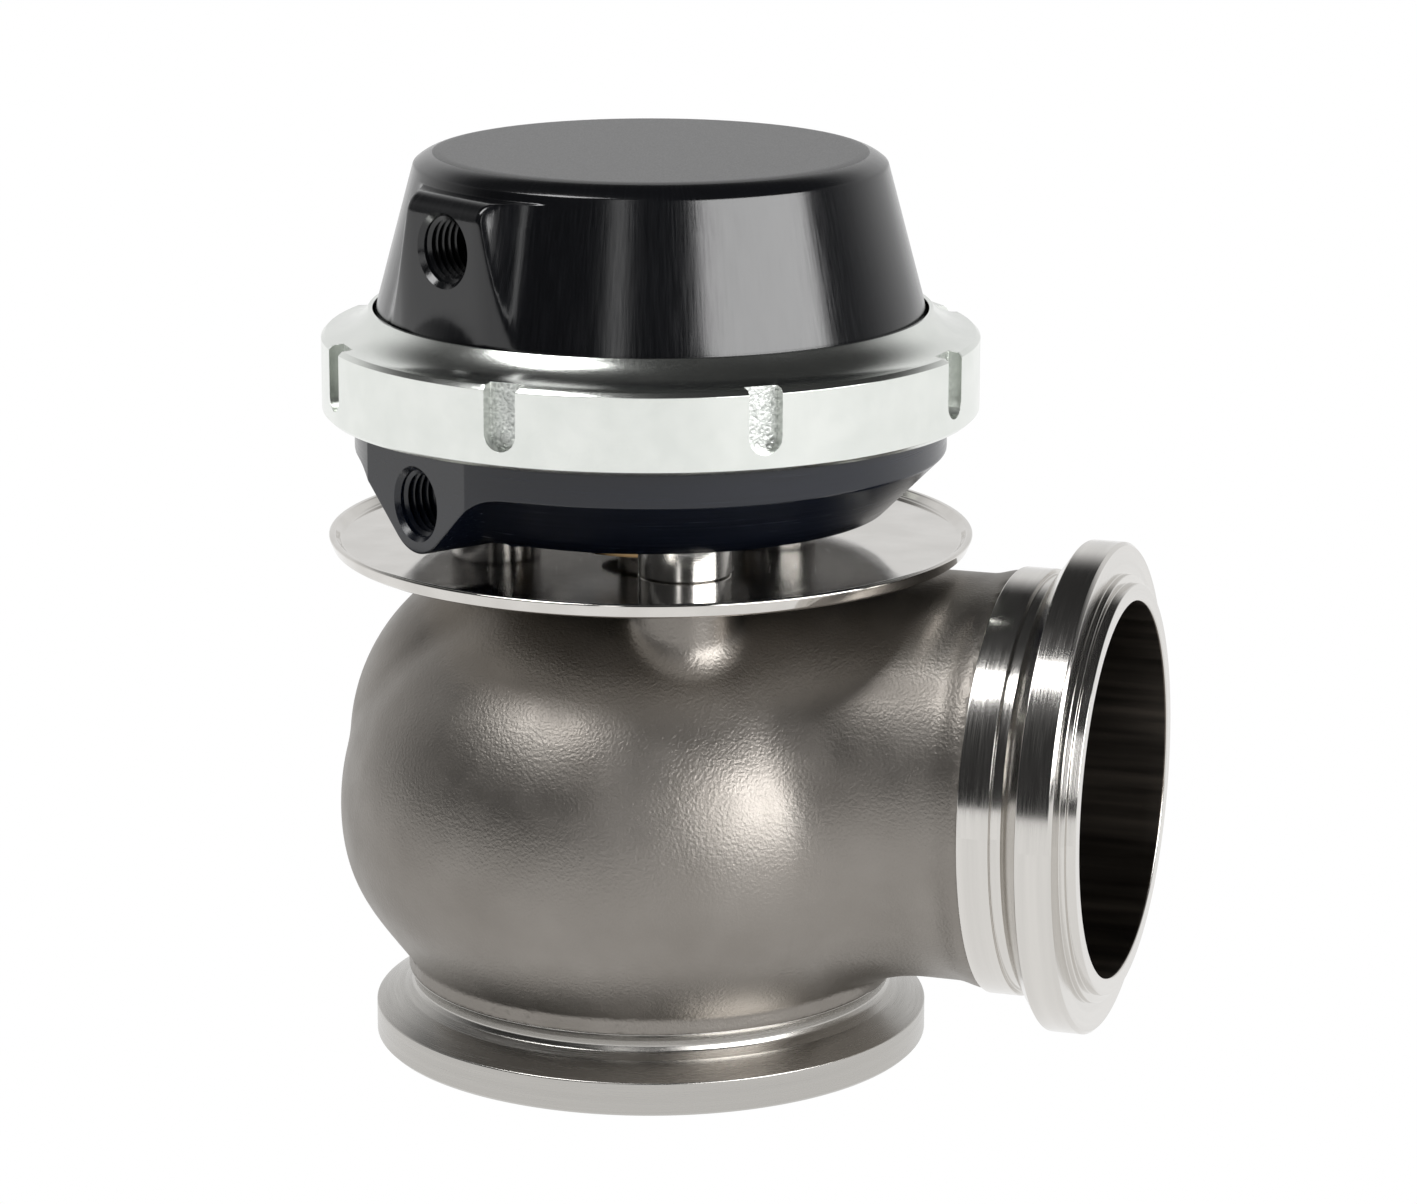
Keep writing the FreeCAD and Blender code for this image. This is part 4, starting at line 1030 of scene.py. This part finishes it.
def cove_points():
    """Points of the hollow round between the ring's edge and its lip."""
    outer = RING_R - RING_CHAMFER
    width, rise = outer - RING_LIP_R, RING_TOP_Z - RING_EDGE_Z
    cove_r = (width ** 2 + rise ** 2) / (2 * rise)
    points = []
    for share in np.linspace(0.04, 0.96, 14):
        across = width * share
        points.append((outer - across, RING_EDGE_Z + cove_r - math.sqrt(cove_r ** 2 - across ** 2), 0))
    return points


def make_ring():
    outer = RING_R - RING_CHAMFER
    ring = turn_profile([
        (RING_BORE_R, RING_FOOT_Z, 0.12), (outer, RING_FOOT_Z, 0.1),
        (RING_R, RING_FOOT_Z + RING_CHAMFER, 0.1), (RING_R, RING_EDGE_Z - RING_CHAMFER, 0.1),
        (outer, RING_EDGE_Z, 0.1),
        *cove_points(), (RING_LIP_R, RING_TOP_Z, 0.1), (RING_LIP_BORE_R, RING_TOP_Z, 0.12),
        (RING_LIP_BORE_R, CAP_RIM_Z, 0.1), (RING_BORE_R, CAP_RIM_Z, 0.1),
    ])
    first = draw_profile([
        (-NOTCH_R, NOTCH_FOOT_Z, NOTCH_R), (NOTCH_R, NOTCH_FOOT_Z, NOTCH_R),
        (NOTCH_R, NOTCH_TOOL_TOP_Z, 0), (-NOTCH_R, NOTCH_TOOL_TOP_Z, 0),
    ])
    bpy.ops.mesh.select_all(action="SELECT")
    bpy.ops.mesh.remove_doubles(threshold=MERGE)
    bpy.ops.mesh.edge_face_add()
    bpy.ops.mesh.extrude_region_move(TRANSFORM_OT_translate={"value": (0, -NOTCH_TOOL_DEPTH * MM, 0)})
    close_up(first)
    set_place(first, 0, (0, -NOTCH_FLOOR_R, 0))
    tools = []
    for k in range(NOTCH_COUNT):
        tool = copied(first)
        set_place(tool, NOTCH_AZIMUTH + NOTCH_STEP * k)
        tools.append(tool)
    bpy.data.objects.remove(first)
    cut_away(ring, joined(tools))
    modified(ring, "BEVEL", width=0.16 * MM, segments=3, limit_method="ANGLE", angle_limit=math.radians(50))

    def is_floor(centre, normal):
        azimuth = math.degrees(math.atan2(centre.x, -centre.y))
        away = (azimuth - NOTCH_AZIMUTH + NOTCH_STEP / 2) % NOTCH_STEP - NOTCH_STEP / 2
        r = math.hypot(centre.x, centre.y)
        outwards = (normal.x * centre.x + normal.y * centre.y) / r
        return 1 if outwards > 0.9 and abs(r * math.cos(math.radians(away)) - NOTCH_FLOOR_R) < 0.05 else 0

    finish_piece(ring, "ring_body", "lock_ring", ["lock_ring"], ["silver", "notch"], 38,
                 is_floor)


# Parts inside

def make_springs():
    for name, mean_r, wire_r, turns in SPRINGS:
        low, high = SPRING_FOOT_Z + wire_r, CAP_CEILING_Z - wire_r
        deselect_all()
        bpy.ops.mesh.primitive_circle_add(vertices=14, radius=wire_r * 0.99 * MM)
        spring = bpy.context.object
        set_place(spring, 0, (mean_r, 0, low), 90)
        wind_up(spring, (high - low) / turns, turns, 64)
        finish_piece(spring, name + "_coil", "cap", [name], ["spring"], 60)
        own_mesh(spring)


def make_diaphragm():
    inner_r, outer_r, thick = 23.5, 29.2, 1.2
    low, crest = 74.8, 86.6
    rolling = turn_profile([
        (STEM_R, low, 0), (inner_r + thick, low, 1.0), (inner_r + thick, crest - thick, 1.65),
        (outer_r - thick, crest - thick, 1.65), (outer_r - thick, CLAMP_Z, 0.3), (CAP_RIM_R, CLAMP_Z, 0.2),
        (CAP_RIM_R, CLAMP_Z + thick, 0.2), (outer_r, CLAMP_Z + thick, 0.3), (outer_r, crest, 2.15),
        (inner_r, crest, 2.85), (inner_r, low + thick, 0.3), (STEM_R, low + thick, 0),
    ], steps=160)
    finish_piece(rolling, "rolling_diaphragm", None, ["diaphragm"], ["diaphragm"], 50)
    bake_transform(rolling)


def finish_nodes():
    """Finishes of the CAD pieces, which are seen where no new piece replaces them."""
    finishes = {
        "valve_seat": "seat", "valve": "valve", "valve_guide": "bronze", "actuator_screws": "zinc",
        "stem_bush": "bronze", "stem_seal": "seal", "seal_retainer": "spacer", "clamp_plate": "aluminium",
        "spring_cup": "aluminium", "nut_washer": "zinc", "stem_nut": "zinc", "valve_body": "cast",
        "heat_shield": "mirror", "standoff_spacers": "spacer", "base_housing": "base_black",
        "cap": "cap_black", "lock_ring": "silver", "diaphragm": "diaphragm", "outer_spring": "spring",
        "middle_spring": "spring", "inner_spring": "spring",
    }
    for node, finish in finishes.items():
        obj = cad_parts[node]
        for slot in obj.material_slots:
            slot.material = MATERIALS[finish]


# Studio

def softbox(name, azimuth, elevation, width, height, level):
    """Area light at an angle to the right of the camera's own azimuth, with its level as seen."""
    turn, rise = math.radians(CAMERA_AZIMUTH + azimuth), math.radians(elevation)
    aim = Vector((0, 0, 0.07))
    away = Vector((math.sin(turn) * math.cos(rise), -math.cos(turn) * math.cos(rise), math.sin(rise)))
    data = bpy.data.lights.new(name, "AREA")
    data.shape = "RECTANGLE"
    data.size, data.size_y = width, height
    data.energy = level * math.pi * width * height
    light = bpy.data.objects.new(name, data)
    scene.collection.objects.link(light)
    light.location = aim + LAMP_DISTANCE * away
    light.rotation_euler = away.to_track_quat("Z", "Y").to_euler()


def node_tree(owner):
    owner.use_nodes = True
    owner.node_tree.nodes.clear()
    return owner.node_tree


def make_floor():
    deselect_all()
    bpy.ops.mesh.primitive_plane_add(size=6)
    floor = bpy.context.object
    floor.name = "floor"
    material = bpy.data.materials.new("pale_floor")
    tree = node_tree(material)
    paths = tree.nodes.new("ShaderNodeLightPath")
    matt = tree.nodes.new("ShaderNodeBsdfDiffuse")
    matt.inputs["Color"].default_value = (0.72, 0.72, 0.72, 1)
    glow = tree.nodes.new("ShaderNodeEmission")
    mix = tree.nodes.new("ShaderNodeMixShader")
    output = tree.nodes.new("ShaderNodeOutputMaterial")
    seen = tree.nodes.new("ShaderNodeMath")
    seen.operation = "MAXIMUM"
    tree.links.new(paths.outputs["Is Camera Ray"], seen.inputs[0])
    tree.links.new(paths.outputs["Is Glossy Ray"], seen.inputs[1])
    tree.links.new(seen.outputs[0], mix.inputs[0])
    tree.links.new(matt.outputs[0], mix.inputs[1])
    tree.links.new(glow.outputs[0], mix.inputs[2])
    tree.links.new(mix.outputs[0], output.inputs["Surface"])
    floor.data.materials.append(material)


def make_world():
    """Dark room with a pale backdrop low behind the part, seen as white by the camera."""
    world = bpy.data.worlds.new("studio")
    scene.world = world
    tree = node_tree(world)

    def node(kind, **settings):
        made = tree.nodes.new(kind)
        for key, value in settings.items():
            setattr(made, key, value)
        return made

    turn = node("ShaderNodeMapping")
    turn.inputs["Rotation"].default_value = (0, 0, math.radians(-CAMERA_AZIMUTH))
    tree.links.new(node("ShaderNodeTexCoord").outputs["Generated"], turn.inputs["Vector"])
    split = node("ShaderNodeSeparateXYZ")
    tree.links.new(turn.outputs[0], split.inputs[0])
    behind = node("ShaderNodeMapRange", interpolation_type="SMOOTHSTEP")
    low = node("ShaderNodeMapRange", interpolation_type="SMOOTHSTEP")
    for made, source, limits in ((behind, split.outputs[1], (-0.1, 0.75, 0.0, 1.0)),
                                 (low, split.outputs[2], (0.36, 0.70, 1.0, 0.0))):
        tree.links.new(source, made.inputs["Value"])
        for socket, limit in zip(("From Min", "From Max", "To Min", "To Max"), limits):
            made.inputs[socket].default_value = limit
    both = node("ShaderNodeMath", operation="MULTIPLY")
    tree.links.new(behind.outputs[0], both.inputs[0])
    tree.links.new(low.outputs[0], both.inputs[1])
    level = node("ShaderNodeMapRange")
    level.inputs["To Min"].default_value = ROOM_LEVEL
    level.inputs["To Max"].default_value = BACKDROP_LEVEL
    tree.links.new(both.outputs[0], level.inputs["Value"])
    room, white = node("ShaderNodeBackground"), node("ShaderNodeBackground")
    white.inputs["Color"].default_value = (1, 1, 1, 1)
    tree.links.new(level.outputs[0], room.inputs["Color"])
    mix, output = node("ShaderNodeMixShader"), node("ShaderNodeOutputWorld")
    tree.links.new(node("ShaderNodeLightPath").outputs["Is Camera Ray"], mix.inputs[0])
    tree.links.new(room.outputs[0], mix.inputs[1])
    tree.links.new(white.outputs[0], mix.inputs[2])
    tree.links.new(mix.outputs[0], output.inputs["Surface"])
    scene.view_settings.view_transform = "Standard"


def make_lights():
    softbox("softbox_right", 50, 17, 0.80, 0.34, 8.0)
    softbox("strip_front_left", -14.5, 24, 0.09, 0.50, 2.0)
    softbox("softbox_upper_left", -62, 57, 0.34, 0.34, 9.0)


make_camera()
finish_nodes()
make_casting()
make_inlet_flange()
make_outlet_flange()
make_shield()
make_spacers()
make_base()
make_ring()
make_cap()
make_springs()
make_diaphragm()
make_floor()
make_world()
make_lights()
